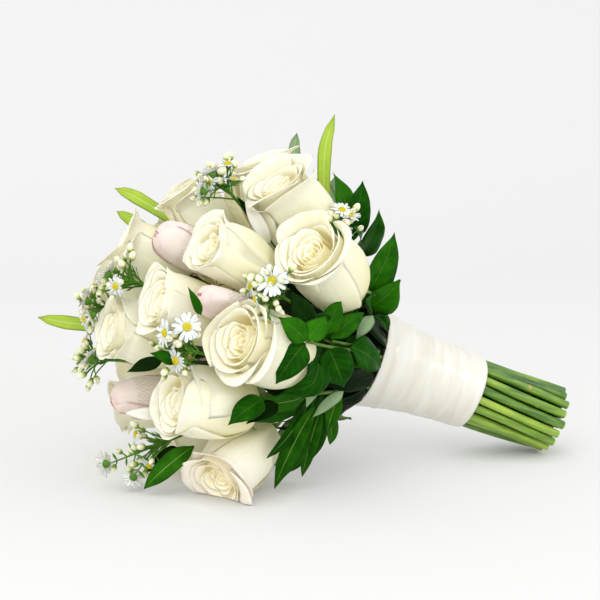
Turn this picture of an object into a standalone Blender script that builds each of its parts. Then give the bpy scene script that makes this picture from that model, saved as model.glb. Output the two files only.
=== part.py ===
"""A hand-tied bouquet of white roses, blush buds, asters and glossy leaves, lying on its side.

Sizes and places are in millimetres and angles in degrees, and add_mesh turns them into metres.
The surface that the bouquet lies on is z = 0. The stems point towards +X and a little down.
"""

import math
import random
from dataclasses import dataclass, field

import bpy
import numpy as np

# The head of the bouquet, a dome over the handle's axis
TILT = 20.5  # how far the stems slope down to their cut ends
HEAD_CENTRE = np.array([-60.5, 4.5, 109.0])
HEAD_DEPTH = 95.0  # from its centre to its top, along the stems
HEAD_RADIUS = 108.0
HANDLE_RISE = 5.15  # the handle's axis passes this far above the head's centre
LOW = 8.0  # a flower whose rim would come lower than this rests on the surface
PRESSED_BY = 11.0  # how much of such a flower the surface flattens

# The handle, in distances along its axis from the head's centre
COLLAR_AT = 103.0
TIE_FROM, TIE_TO = 158.0, 172.0
WRAP_END_AT = 188.0
STEMS_END_AT = 257.0
WRAP_WALL = 1.2
# The satin's outside, as distances along the handle and radii
WRAP_OUTSIDE = ((COLLAR_AT, 37.4), (112, 35.4), (126, 32.6), (144, 30.4), (166, 29.0), (WRAP_END_AT, 28.0))

# The stems stand in rings round one in the middle
STEM_RADIUS = 3.5
STEM_PITCH = 7.45
STEM_RINGS = (1, 6, 12, 18)
SECTORS = 6
END_TWIST = 20.0  # the exposed stems turn this far about the handle
GAP = 0.3

# Roses: polar angle from the top of the head, clock angle from straight up towards the viewer,
# how far the face stands out of the dome, how far behind the head's centre the stem aims,
# width, length, turn about its own axis
ROSES = (
    (79, 91, 0, 180, 60, 60, 35),
    (96, 51, 0, 150, 58, 58, 0),
    (83, 20, 0, 130, 54, 60, 60),
    (60, 58, 0, 230, 49, 58, 100),
    (46, 87, 0, 230, 52, 58, 10),
    (68, 125, 0, 250, 56, 62, 80),
    (93, 141, 9, 70, 50, 60, 40),
    (28, 128, 0, 170, 48, 56, 120),
    (22, 322, -3, 60, 46, 55, 15),
    (51, 346, -5, 45, 46, 55, 70),
    (82, 352, 5, 60, 48, 55, 25),
    (64, 203, 3, 80, 46, 55, 95),
    (42, 268, 5, 80, 50, 55, 50),
    (88, 180, 0, 110, 44, 48, 5),
    (92, 214, 2, 80, 50, 56, 65),
    (90, 250, 0, 90, 52, 56, 110),
    (92, 284, 0, 90, 50, 56, 30),
    (90, 318, 0, 80, 48, 56, 85),
    (62, 234, 0, 90, 46, 56, 20),
    (62, 272, 0, 90, 48, 56, 55),
    (62, 309, 0, 80, 50, 56, 90),
)
# Blush buds, in the same terms
BUDS = (
    (34, 40, 0, 260, 30, 58, 0),
    (60, 80, 0, 260, 25, 56, 40),
    (50, 172, 3, 110, 26, 58, 80),
    (40, 222, 0, 100, 27, 56, 20),
    (78, 232, 0, 90, 25, 56, 15),
    (76, 293, 0, 90, 26, 56, 100),
)
# Sprays of small asters: polar, clock, how far proud, aim, asters, buds
SPRAYS = (
    (63, 18, 0, 120, 3, 4),
    (85, 71, 0, 170, 1, 6),
    (62, 103, 0, 220, 2, 4),
    (108, 34, 0, 120, 1, 5),
    (24, 80, 0, 200, 1, 4),
    (13, 190, 0, 150, 3, 3),
    (36, 190, 2, 120, 1, 5),
    (73, 161, 2, 100, 2, 4),
    (52, 250, 0, 100, 2, 2),
    (76, 265, 0, 90, 2, 2),
)
# Grass blades, in distances down the handle, out of its axis and clock angles: where each
# leaves the head, its tip, its width, and how far down the handle its line aims
GRASS = (
    ((35, 95, 356), (24, 155, 355), 10, 110),
    ((17, 108, 343), (9, 139, 344), 9, 90),
    ((-59, 70, 312), (-96, 90, 305), 10, 60),
    ((-64, 56, 304), (-92, 68, 303), 9, 60),
    ((-78, 46, 208), (-122, 67, 220), 10, 60),
)
# Leafy sprigs, in the same terms: the stalk's end, then each leaf's tip, its width and the
# share of the stalk where it grows
SPRIG_SHAPES = (
    (
        (50, 80, 20),
        ((30, 116, 6, 20, 0.8), (47, 120, 14, 22, 1.0), (60, 112, 24, 21, 0.5), (42, 106, 36, 17, 0.65)),
    ),
    (
        (68, 66, 50),
        ((73, 106, 28, 24, 1.0), (86, 88, 42, 25, 0.6), (60, 94, 60, 18, 0.8), (90, 70, 64, 16, 0.3)),
    ),
    (
        (40, 82, 86),
        (
            (22, 101, 80, 20, 1.0),
            (36, 100, 74, 20, 0.92),
            (19, 101, 106, 23, 0.84),
            (66, 88, 102, 22, 0.55),
            (84, 78, 90, 22, 0.3),
            (54, 88, 68, 16, 0.7),
        ),
    ),
    (
        (47, 80, 114),
        (
            (51, 118, 140, 13, 0.7),
            (14, 102, 124, 14, 0.9),
            (34, 114, 134, 12, 0.8),
            (4, 106, 116, 14, 1.0),
            (66, 104, 136, 13, 0.5),
        ),
    ),
    (
        (74, 62, 136),
        ((68, 88, 150, 14, 1.0), (84, 78, 140, 12, 0.7), (58, 104, 156, 13, 1.0), (88, 68, 122, 14, 0.4)),
    ),
)
SPRIG_CLOCKS = (20, 53, 84, 113, 138, 335, 301, 267, 232, 197)
LEAF_SHARES = (0.0, 0.28, 0.66, 1.0)
LEAF_WIDTHS = (0.06, 0.95, 0.80, 0.0)
LEAF_THICKNESS = 1.2
STALK_RADIUS = 1.4
STALK_ROOM = 2.4  # the half width that neighbours leave for a spray's stalk or a blade
SLIM = 5.0  # what is narrower than this is a stalk, not a bloom
CALYX_HEIGHT = 7.0
STEM_STEP = 360 / STEM_RINGS[-1]  # the clock angle from one outer stem to the next
LEAF_OFF_FLOOR = 2.0
COLLAR_SPREAD = 1.25  # how much wider the ring of stems is at the collar than at the tie
ASTER_RADIUS = 8.5
BUD_RADIUS = 2.6
SEED = 11

def unit(vector):
    return vector / np.linalg.norm(vector)


def turned(degrees):
    """Cosine and sine of an angle in degrees."""
    return math.cos(math.radians(degrees)), math.sin(math.radians(degrees))


TILT_COS, TILT_SIN = turned(TILT)
FORE = np.array([-TILT_COS, 0.0, TILT_SIN])  # along the stems, from cut end to bloom
OVER = np.array([TILT_SIN, 0.0, TILT_COS])  # square to them, upwards
NEAR = np.array([0.0, -1.0, 0.0])
VIEW = np.array([-0.24, -0.96, 0.16])  # towards the side that the bouquet shows
HANDLE_START = HEAD_CENTRE + HANDLE_RISE * OVER


def spoke(clock):
    """The direction square to the stems at a clock angle."""
    over, near = turned(clock)
    return over * OVER + near * NEAR


def on_head(polar, clock):
    """A point of the dome that the flowers' faces lie on."""
    along, across = turned(polar)
    reach = 1 / math.hypot(along / HEAD_DEPTH, across / HEAD_RADIUS)
    return HEAD_CENTRE + reach * (along * FORE + across * spoke(clock))


def in_handle(distance, radius, clock):
    """A point at a distance down the handle, and a radius and clock angle about its axis."""
    return HANDLE_START - distance * FORE + radius * spoke(clock)


# Cells: each flower keeps to its own side of a plane between it and each neighbour


@dataclass
class Flower:
    name: str
    face: np.ndarray
    way: np.ndarray
    radius: float
    length: float
    turn: float = 0.0
    walls: list = field(default_factory=list)

    def at(self, share):
        return self.face - (1 - share) * self.length * self.way

    def sides(self):
        """Two directions square to the flower's axis, the first turned about it."""
        first = unit(np.cross(self.way, NEAR + 0.3 * OVER))
        second = np.cross(self.way, first)
        cosine, sine = turned(self.turn)
        return cosine * first + sine * second, cosine * second - sine * first


def flower(name, polar, clock, proud, aim, width, length, turn):
    """A flower on the dome, moved up or down to rest on the surface below where it comes near it."""
    face = on_head(polar, clock)
    face += proud * unit(face - HEAD_CENTRE)
    way = unit(face - (HEAD_CENTRE - aim * FORE))
    lowest = face[2] - width / 2 * math.hypot(way[0], way[1])
    if lowest < LOW:
        face[2] -= lowest + PRESSED_BY
    return Flower(name, face, way, width / 2, length, turn)


def grass_line(name, exit_at, tip, width, aim):
    """The straight lower part of a grass blade, out between the blooms."""
    face = in_handle(*exit_at)
    return Flower(name, face, unit(face - (HANDLE_START - aim * FORE)), STALK_ROOM, 40)


WIDEST_AT = 0.6
SOFT_FROM = 0.72  # the share of the way to a wall at which a petal starts to give
FLOOR = (np.array([0.0, 0.0, -1.0]), 1.1, 0.93)
SKIN = 0.8  # from a petal's middle surface to the plane between two cells


def find_walls(flowers):
    for one in flowers:
        one.walls = [FLOOR]
        for other in flowers:
            if other is one:
                continue
            reach = other.at(WIDEST_AT) - one.at(WIDEST_AT)
            if np.linalg.norm(reach) > 1.3 * (one.radius + other.radius):
                continue
            between = unit(one.way + other.way)
            normal = unit(reach - between * (reach @ between))
            share = one.radius / (one.radius + other.radius)
            meeting = one.at(WIDEST_AT) + share * reach
            one.walls.append((normal, meeting @ normal - SKIN, SOFT_FROM))


def squeezed(points, one):
    """Points of a flower pressed softly into its cell, towards its own axis."""
    shape = points.shape
    points = points.reshape(-1, 3)
    base = one.at(0)
    for _ in range(2):
        for normal, limit, soft_from in one.walls:
            axis = base + ((points - base) @ one.way)[:, None] * one.way
            room = np.maximum(limit - axis @ normal, 1.5)
            share = ((points - axis) @ normal) / room
            over = np.maximum(share - soft_from, 0) / (1 - soft_from)
            eased = soft_from + (1 - soft_from) * (1 - np.exp(-over))
            move = np.where(share > soft_from, eased - share, 0) * room
            points = points + move[:, None] * normal
    return points.reshape(shape)


# Solids as (points, faces)


def lens(grid, thickness):
    """A thin blade round a grid of points: thickest inside, with its two faces meeting at the rim."""
    rows, columns = grid.shape[:2]
    along = np.gradient(grid, axis=0)
    across = np.gradient(grid, axis=1)
    normal = np.cross(along, across)
    normal /= np.linalg.norm(normal, axis=2, keepdims=True) + 1e-9
    inside = np.zeros((rows, columns, 1))
    inside[1:-1, 1:-1] = thickness / 2
    points = np.concatenate([(grid + inside * normal).reshape(-1, 3), (grid - inside * normal).reshape(-1, 3)])
    back = rows * columns
    index = np.arange(back).reshape(rows, columns)
    rim = np.ones((rows, columns), bool)
    rim[1:-1, 1:-1] = False
    twin = np.where(rim, index, index + back)
    faces = []
    for i in range(rows - 1):
        for j in range(columns - 1):
            corners = ((i, j), (i + 1, j), (i + 1, j + 1), (i, j + 1))
            a, b, c, d = (index[corner] for corner in corners)
            e, f, g, h = (twin[corner] for corner in corners)
            slant = (i + j) % 2 == 0
            faces += [(a, b, c), (a, c, d)] if slant else [(a, b, d), (b, c, d)]
            faces += [(e, g, f), (e, h, g)] if slant else [(e, h, f), (f, h, g)]
    return points, faces


def blade(spine, widths, facing, thickness, cup=0.15):
    """A leaf along a spine of points, with its upper side towards facing."""
    spine = np.asarray(spine)
    along = np.gradient(spine, axis=0)
    rows = []
    for point, way, width in zip(spine, along, widths):
        side = unit(np.cross(way, facing))
        upper = unit(np.cross(side, way))
        rows.append([point - side * width / 2 + upper * cup * width, point, point + side * width / 2 + upper * cup * width])
    return lens(np.array(rows), thickness)


def tube(path, radii, sides, turn=0.0):
    """A closed tube along a path, with flat ends."""
    path = np.asarray(path)
    along = np.gradient(path, axis=0)
    side = unit(np.cross(along[0], (0.31, 0.47, 0.83)))
    points = []
    for point, way, radius in zip(path, along, radii):
        way = unit(way)
        side = unit(side - way * (side @ way))
        other = np.cross(way, side)
        for k in range(sides):
            cosine, sine = turned(turn + 360 * k / sides)
            points.append(point + radius * (cosine * side + sine * other))
    faces = [tuple(range(sides))[::-1], tuple(range(len(points) - sides, len(points)))]
    for i in range(len(path) - 1):
        for k in range(sides):
            a, b = i * sides + k, i * sides + (k + 1) % sides
            faces.append((a, b, b + sides, a + sides))
    return np.array(points), faces


def turned_solid(profile, origin, way, side, sides):
    """A solid of revolution whose profile runs from the axis at its foot to the axis at its top."""
    other = np.cross(way, side)
    points = [origin + way * profile[0][1]]
    for radius, height in profile[1:-1]:
        for k in range(sides):
            cosine, sine = turned(360 * k / sides)
            points.append(origin + way * height + radius * (cosine * side + sine * other))
    points.append(origin + way * profile[-1][1])
    faces = [(0, 1 + (k + 1) % sides, 1 + k) for k in range(sides)]
    for i in range(len(profile) - 3):
        for k in range(sides):
            a, b = 1 + i * sides + k, 1 + i * sides + (k + 1) % sides
            faces.append((a, b, b + sides, a + sides))
    last = len(points) - 1
    faces += [(last, last - sides + k, last - sides + (k + 1) % sides) for k in range(sides)]
    return np.array(points), faces


# Petals


@dataclass
class Layer:
    """Petals that stand round a bloom. The outline's points are (radius, height) in shares."""

    count: int
    half_width: float
    outline: tuple
    tuck: float
    drop: float
    rows: int
    columns: int
    turn: float = 0.0
    thickness: float = 1.2


ROSE_LAYERS = (
    Layer(3, 68, ((0.32, 0.20), (0.86, 0.16), (0.78, 0.72), (0.56, 1.00)), 0.07, 0.10, 3, 4),
    Layer(4, 55, ((0.12, 0.05), (1.28, 0.02), (0.84, 0.92), (1.10, 0.90)), 0.07, 0.18, 4, 4, 40),
)
# The roses at the back and underneath hold fewer petals
BACK_LAYERS = (
    Layer(3, 68, ((0.32, 0.20), (0.86, 0.16), (0.78, 0.72), (0.56, 1.00)), 0.07, 0.10, 3, 3),
    Layer(3, 66, ((0.12, 0.05), (1.28, 0.02), (0.84, 0.92), (1.10, 0.90)), 0.07, 0.18, 3, 4, 40),
)
SHOWN_ROSES = 13
ROSE_CORE = ((0.0, 0.0), (0.42, 0.14), (0.50, 0.50), (0.36, 0.93), (0.0, 0.84))
BUD_LAYERS = (
    Layer(3, 70, ((0.30, 0.02), (1.20, 0.10), (1.10, 0.86), (0.10, 1.00)), 0.09, 0.34, 4, 4),
)
BUD_CORE = ((0.0, 0.0), (0.34, 0.0), (0.62, 0.22), (0.60, 0.66), (0.0, 0.93))


def along_outline(outline, share):
    """A point of a cubic curve through an outline's first and last points."""
    weights = ((1 - share) ** 3, 3 * share * (1 - share) ** 2, 3 * share**2 * (1 - share), share**3)
    radius = sum(w * p[0] for w, p in zip(weights, outline))
    height = sum(w * p[1] for w, p in zip(weights, outline))
    return radius, height


def petal(one, layer, number):
    """One petal's middle surface, pressed into the flower's cell."""
    first, second = one.sides()
    middle = layer.turn + 360 * number / layer.count
    grid = np.empty((layer.rows, layer.columns, 3))
    for i in range(layer.rows):
        for j in range(layer.columns):
            side = 2 * j / (layer.columns - 1) - 1
            share = i / (layer.rows - 1) * (1 - layer.drop * abs(side) ** 2.5)
            radius, height = along_outline(layer.outline, share)
            radius += layer.tuck * side * min(1, 3 * share)
            cosine, sine = turned(middle + layer.half_width * side * (0.34 + 0.66 * share))
            outward = cosine * first + sine * second
            grid[i, j] = one.at(0) + height * one.length * one.way + radius * one.radius * outward
    return squeezed(grid, one)


def bloom(one, core, layers):
    """A flower's core and petals, as solids."""
    first, _ = one.sides()
    profile = [(radius * one.radius, height * one.length) for radius, height in core]
    points, faces = turned_solid(profile, one.at(0), one.way, first, 5)
    solids = [(squeezed(points, one), faces)]
    for layer in layers:
        solids += [lens(petal(one, layer, k), layer.thickness) for k in range(layer.count)]
    return solids


# Blender objects


def add_mesh(name, solid):
    points, faces = solid
    mesh = bpy.data.meshes.new(name)
    mesh.from_pydata((np.asarray(points) / 1000).tolist(), [], [tuple(map(int, face)) for face in faces])
    mesh.update()
    made = bpy.data.objects.new(name, mesh)
    bpy.context.scene.collection.objects.link(made)
    return made


def material(name, colour, roughness):
    made = bpy.data.materials.new(name)
    made.use_nodes = True
    shader = made.node_tree.nodes["Principled BSDF"]
    shader.inputs["Base Color"].default_value = (*colour, 1)
    shader.inputs["Roughness"].default_value = roughness
    shader.inputs["Metallic"].default_value = 0.0
    made.diffuse_color = (*colour, 1)
    return made


def volume_of(mesh, polygons):
    total = 0.0
    for polygon in polygons:
        corners = [mesh.vertices[i].co for i in polygon.vertices]
        for b, c in zip(corners[1:], corners[2:]):
            total += corners[0].dot(b.cross(c)) / 6
    return total


def keep_outer_body(mesh):
    """Drop sealed hollows and loose scraps that a union leaves, and keep the one large body."""
    parent = list(range(len(mesh.vertices)))

    def root(i):
        while parent[i] != i:
            parent[i] = parent[parent[i]]
            i = parent[i]
        return i

    for edge in mesh.edges:
        a, b = (root(i) for i in edge.vertices)
        parent[a] = b
    bodies = {}
    for polygon in mesh.polygons:
        bodies.setdefault(root(polygon.vertices[0]), []).append(polygon)
    if len(bodies) < 2:
        return len(bodies)
    largest = max(bodies.values(), key=lambda polygons: volume_of(mesh, polygons))
    used = sorted({i for polygon in largest for i in polygon.vertices})
    place = {old: new for new, old in enumerate(used)}
    points = [mesh.vertices[i].co[:] for i in used]
    faces = [[place[i] for i in polygon.vertices] for polygon in largest]
    mesh.clear_geometry()
    mesh.from_pydata(points, [], faces)
    mesh.update()
    return len(bodies)


def evaluated_mesh(one):
    graph = bpy.context.evaluated_depsgraph_get()
    return bpy.data.meshes.new_from_object(one.evaluated_get(graph))


def applied(body):
    """Replace a body's mesh with what its modifiers make of it."""
    mesh = evaluated_mesh(body)
    body.modifiers.clear()
    body.data = mesh
    keep_outer_body(mesh)


def joined(name, solids, look):
    """One object, the union of closed solids."""
    body = add_mesh(name, solids[0])
    others = bpy.data.collections.new(name + "_parts")
    bpy.context.scene.collection.children.link(others)
    for solid in solids[1:]:
        part = add_mesh(name + "_part", solid)
        bpy.context.scene.collection.objects.unlink(part)
        others.objects.link(part)
    if len(solids) > 1:
        union = body.modifiers.new("Union", "BOOLEAN")
        union.operation = "UNION"
        union.operand_type = "COLLECTION"
        union.collection = others
        applied(body)
    for part in list(others.objects):
        bpy.data.objects.remove(part)
    bpy.data.collections.remove(others)
    body.data.materials.clear()
    body.data.materials.append(look)
    return body


def cut_flat(body):
    """Cut away what the surface below has pressed flat."""
    if min(vertex.co.z for vertex in body.data.vertices) >= 0:
        return
    slab = add_mesh("slab", box_solid((-400, -400, -60), (400, 400, 0)))
    cut = body.modifiers.new("Pressed flat", "BOOLEAN")
    cut.operation = "DIFFERENCE"
    cut.object = slab
    cut.solver = "MANIFOLD"
    applied(body)
    bpy.data.objects.remove(slab)


def box_solid(low, high):
    points = [(x, y, z) for x in (low[0], high[0]) for y in (low[1], high[1]) for z in (low[2], high[2])]
    faces = [(0, 1, 3, 2), (4, 6, 7, 5), (0, 4, 5, 1), (2, 3, 7, 6), (0, 2, 6, 4), (1, 5, 7, 3)]
    return np.array(points, float), faces


# Stems


def cubic(controls, shares):
    """Points of a cubic curve through its first and last controls."""
    a, b, c, d = (np.asarray(point, float) for point in controls)
    return [(1 - s) ** 3 * a + 3 * s * (1 - s) ** 2 * b + 3 * s**2 * (1 - s) * c + s**3 * d for s in shares]


def stem_slots():
    """The bundle's places, as (radius, clock, sector), from the middle outwards."""
    slots = []
    for ring, count in enumerate(STEM_RINGS):
        for k in range(count):
            clock = 360 * (k + 0.5) / count
            slots.append((ring * STEM_PITCH, clock, int(clock * SECTORS // 360) if ring else 0))
    return slots


def foot_clock(one):
    foot = one.at(0) - HANDLE_START
    return math.degrees(math.atan2(foot @ NEAR, foot @ OVER)) % 360


def foot_spread(one):
    """How far a flower's foot makes its stem lean out of the handle."""
    foot = one.at(0) - HANDLE_START
    return math.hypot(foot @ NEAR, foot @ OVER) - 0.5 * (foot @ FORE)


def turn_between(clock, other):
    return (clock - other + 180) % 360 - 180


def dealt(flowers):
    """Each flower with its slot: the widest spread in the outer ring, each ring in clock order."""
    slots = stem_slots()
    inner_first = sorted(flowers, key=foot_spread)
    pairs = []
    start = 0
    for count in STEM_RINGS:
        ring = slots[start : start + count]
        members = sorted(inner_first[start : start + count], key=foot_clock)

        def misfit(shift):
            turns = [turn_between(foot_clock(one), ring[(k + shift) % count][1]) for k, one in enumerate(members)]
            return sum(turn * turn for turn in turns)

        best = min(range(count), key=misfit)
        pairs += [(one, ring[(k + best) % count]) for k, one in enumerate(members)]
        start += count
    return pairs


def stem_path(one, slot):
    """From the cut end, through the tie and the collar, to a flower's foot."""
    radius, clock, _ = slot
    end = STEMS_END_AT - 1.5 * math.sin(7 * clock + radius) ** 2
    start = in_handle(TIE_FROM - 2, radius, clock)
    collar = in_handle(COLLAR_AT + 4, radius * COLLAR_SPREAD, clock)
    top = one.at(0) - GAP * one.way
    reach = 0.4 * np.linalg.norm(top - collar)
    bend = cubic((collar, collar + reach * unit(collar - start), top - reach * one.way, top), (0.5,))
    return [in_handle(end, radius, clock + END_TWIST), in_handle(TIE_TO + 2, radius, clock), start, collar] + bend + [
        top - CALYX_HEIGHT * one.way,
        top,
    ]


def stem(one, slot):
    """A stem that swells to a calyx under a bloom, or narrows to a spray's stalk."""
    thin, top = (1.8, 1.6) if one.radius < SLIM else (2.8, 6.0)
    sides = 5 if slot[0] > 2.5 * STEM_PITCH else 4
    return tube(stem_path(one, slot), [STEM_RADIUS] * 4 + [3.0, thin, top], sides)


def wedge(sector):
    """The part of the tied waist that holds one sector's stems together."""
    span = 360 / SECTORS
    outer = STEM_PITCH * 3 + STEM_RADIUS
    inner = 0.5 if sector == 0 else STEM_RADIUS + 0.6
    slack = [math.degrees(GAP / 2 / radius) for radius in (outer, inner)]
    rim = [(outer, sector * span + slack[0] + (span - 2 * slack[0]) * k / 4) for k in range(5)]
    hub = [(inner, (sector + 1) * span - min(slack[1], 25)), (inner, sector * span + min(slack[1], 25))]
    section = rim + hub
    points = [in_handle(at, radius, clock) for at in (TIE_TO, TIE_FROM) for radius, clock in section]
    count = len(section)
    faces = [tuple(range(count)), tuple(range(2 * count - 1, count - 1, -1))]
    faces += [(k + count, (k + 1) % count + count, (k + 1) % count, k) for k in range(count)]
    return np.array(points), faces


def make_stems(pairs, look):
    for sector in range(SECTORS):
        solids = [wedge(sector)] + [stem(one, slot) for one, slot in pairs if slot[2] == sector]
        joined(f"stems_{sector + 1}", solids, look)


# The satin wrap and the tape under it


def ring_solid(profile, sides):
    """A ring round the handle whose section is a closed outline of (distance, radius) points."""
    points = [in_handle(at, radius, 360 * k / sides) for at, radius in profile for k in range(sides)]
    count = len(profile)
    faces = []
    for i in range(count):
        for k in range(sides):
            a, b = i * sides + k, i * sides + (k + 1) % sides
            c, d = (i + 1) % count * sides + (k + 1) % sides, (i + 1) % count * sides + k
            faces.append((a, b, c, d))
    return np.array(points), faces


def wrap_inside(at):
    """The satin's inner radius at a distance down the handle."""
    return float(np.interp(at, *zip(*WRAP_OUTSIDE))) - WRAP_WALL


def make_wrap(look):
    inside = [(at, radius - WRAP_WALL) for at, radius in reversed(WRAP_OUTSIDE)]
    joined("satin_wrap", [ring_solid(list(WRAP_OUTSIDE) + inside, 24)], look)


def make_tape(look):
    """Floral tape round the tied waist, between the stems and the satin."""
    inner = STEM_PITCH * 3 + STEM_RADIUS + GAP
    low, high = inner, wrap_inside(TIE_TO - 2) - GAP
    profile = ((TIE_FROM + 2, high), (TIE_TO - 2, high), (TIE_TO - 2, low), (TIE_FROM + 2, low))
    joined("floral_tape", [ring_solid(profile, 24)], look)


# What stands between the blooms: sprays, leafy sprigs and grass


OUTLINE_HEIGHTS = (-0.08, 0.0, 0.12, 0.3, 0.6, 0.88, 1.0, 1.08)
OUTLINE_RADII = (0.0, 0.30, 0.72, 0.92, 1.00, 1.04, 0.75, 0.0)


def pushed_clear(point, clearance, blooms):
    """A point moved out of every bloom's outline."""
    for _ in range(3):
        for one in blooms:
            height = (point - one.at(0)) @ one.way / one.length
            radius = np.interp(height, OUTLINE_HEIGHTS, OUTLINE_RADII) * one.radius
            if radius == 0:
                continue
            axis = one.at(height)
            off = point - axis
            distance = max(np.linalg.norm(off), 1e-6)
            if distance < radius + clearance:
                point = axis + off * (radius + clearance) / distance
    return point


def aster(centre, way, radius, florets):
    """A small daisy: a star of ray florets round a raised middle."""
    first = unit(np.cross(way, (0.2, 0.9, 0.4)))
    second = np.cross(way, first)
    points = [centre + 1.4 * way, centre - 0.8 * way]
    for k in range(2 * florets):
        reach, lift = (radius, 0.6) if k % 2 == 0 else (0.42 * radius, 0.0)
        cosine, sine = turned(180 * k / florets)
        points.append(centre + lift * way + reach * (cosine * first + sine * second))
    count = 2 * florets
    faces = [(0, 2 + k, 2 + (k + 1) % count) for k in range(count)]
    faces += [(1, 2 + (k + 1) % count, 2 + k) for k in range(count)]
    return np.array(points), faces


def bud(centre, way, radius):
    """A closed aster bud, a little longer than wide."""
    side = unit(np.cross(way, (0.2, 0.9, 0.4)))
    return turned_solid(((0, -1.3 * radius), (radius, 0.1 * radius), (0, 1.4 * radius)), centre, way, side, 4)


def spray(one, asters, buds, blooms, draw):
    """A stalk with thin branches up its end, each with an aster or a bud."""
    first, second = one.sides()
    solids = [tube([one.at(0), one.at(1.0)], (1.6, 1.0), 4)]
    count = asters + buds
    for k in range(count):
        cosine, sine = turned(137.5 * k + 40 * draw.random())
        outward = cosine * first + sine * second
        reach = 13 * math.sqrt((k + 0.6) / count)
        head = one.face + (8 - 0.3 * reach + 2 * draw.random()) * one.way + reach * outward
        is_aster = k >= buds
        size = ASTER_RADIUS if is_aster else BUD_RADIUS
        head = pushed_clear(head, 0.75 * size + 1.2, blooms)
        head[2] = max(head[2], size)
        fork = one.at(0.94 - 0.022 * k)
        solids.append(tube([fork, head], (0.8, 0.6), 3))
        way = unit(unit(head - one.at(0.3)) + 0.35 * outward)
        solids.append(aster(head, way, size, 6) if is_aster else bud(head, way, size))
    return solids


def leaf(foot, tip, width, facing, blooms, arch=0.12):
    """A pointed leaf from its foot to its tip, arched towards its upper side and clear of the blooms."""
    run = tip - foot
    upper = unit(facing - run * (facing @ run) / (run @ run))
    spine = []
    for share, wide in zip(LEAF_SHARES, LEAF_WIDTHS):
        point = foot + run * share + upper * arch * np.linalg.norm(run) * 4 * share * (1 - share)
        if share > 0:
            point = pushed_clear(point, 2.3 + 0.4 * wide * width, blooms)
            point[2] = max(point[2], LEAF_OFF_FLOOR)
        spine.append(point)
    return blade(spine, [width * wide for wide in LEAF_WIDTHS], upper, LEAF_THICKNESS)


def sprig(shape, clock, side, blooms):
    """A leafy stalk from inside the collar, whose leaves fan out behind the roses."""
    (node_at, node_out, node_clock), leaves = SPRIG_SHAPES[shape]
    between = STEM_STEP * round(clock / STEM_STEP)
    base = in_handle(COLLAR_AT + 14, wrap_inside(COLLAR_AT + 14) - STALK_RADIUS - GAP, between)
    rim = in_handle(COLLAR_AT - 1, wrap_inside(COLLAR_AT) - STALK_RADIUS - GAP, between)
    node = pushed_clear(in_handle(node_at, node_out, clock), 3, blooms)
    middle = pushed_clear((rim + node) / 2, 3, blooms)
    solids = [tube([base, rim, middle, node], (STALK_RADIUS, STALK_RADIUS, 1.2, 1.0), 4)]
    for down, out, turn, width, share in leaves if side > 0 else leaves[:4]:
        foot = middle + (node - middle) * share
        tip = in_handle(down, out, clock + side * (turn - node_clock))
        outward = unit(foot + tip - 2 * (HANDLE_START - 30 * FORE))
        solids.append(leaf(foot, tip, width, outward + side * NEAR, blooms))
    return solids


def seated(point, ahead, paths):
    """The place nearest to a point that lies against a stem, on the side that faces a point ahead."""
    nearest = None
    for path in paths:
        for start, end in zip(path[2:-3], path[3:-2]):
            run = end - start
            share = min(1, max(0, (point - start) @ run / (run @ run)))
            on = start + share * run
            if nearest is None or np.linalg.norm(point - on) < np.linalg.norm(point - nearest):
                nearest = on
                along = unit(run)
    off = ahead - nearest
    return nearest + unit(off - along * (off @ along)) * (STEM_RADIUS + GAP / 2)


def grass(one, tip, width, foot):
    """A narrow blade from a stem inside the head, out between the blooms, bending to its tip."""
    bend = one.face + 0.45 * (tip - one.face) + 0.12 * np.linalg.norm(tip - one.face) * one.way
    spine = [foot, one.at(0.35), one.at(0.85), bend, tip]
    widths = (1.6, 2.4, 0.75 * width, width, 0.3)
    upper = unit(np.cross(np.cross(one.way, VIEW), one.way))
    return [blade(spine, widths, upper, 1.2, cup=0.1)]


def clear_scene():
    for one in list(bpy.data.objects):
        bpy.data.objects.remove(one)


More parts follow.
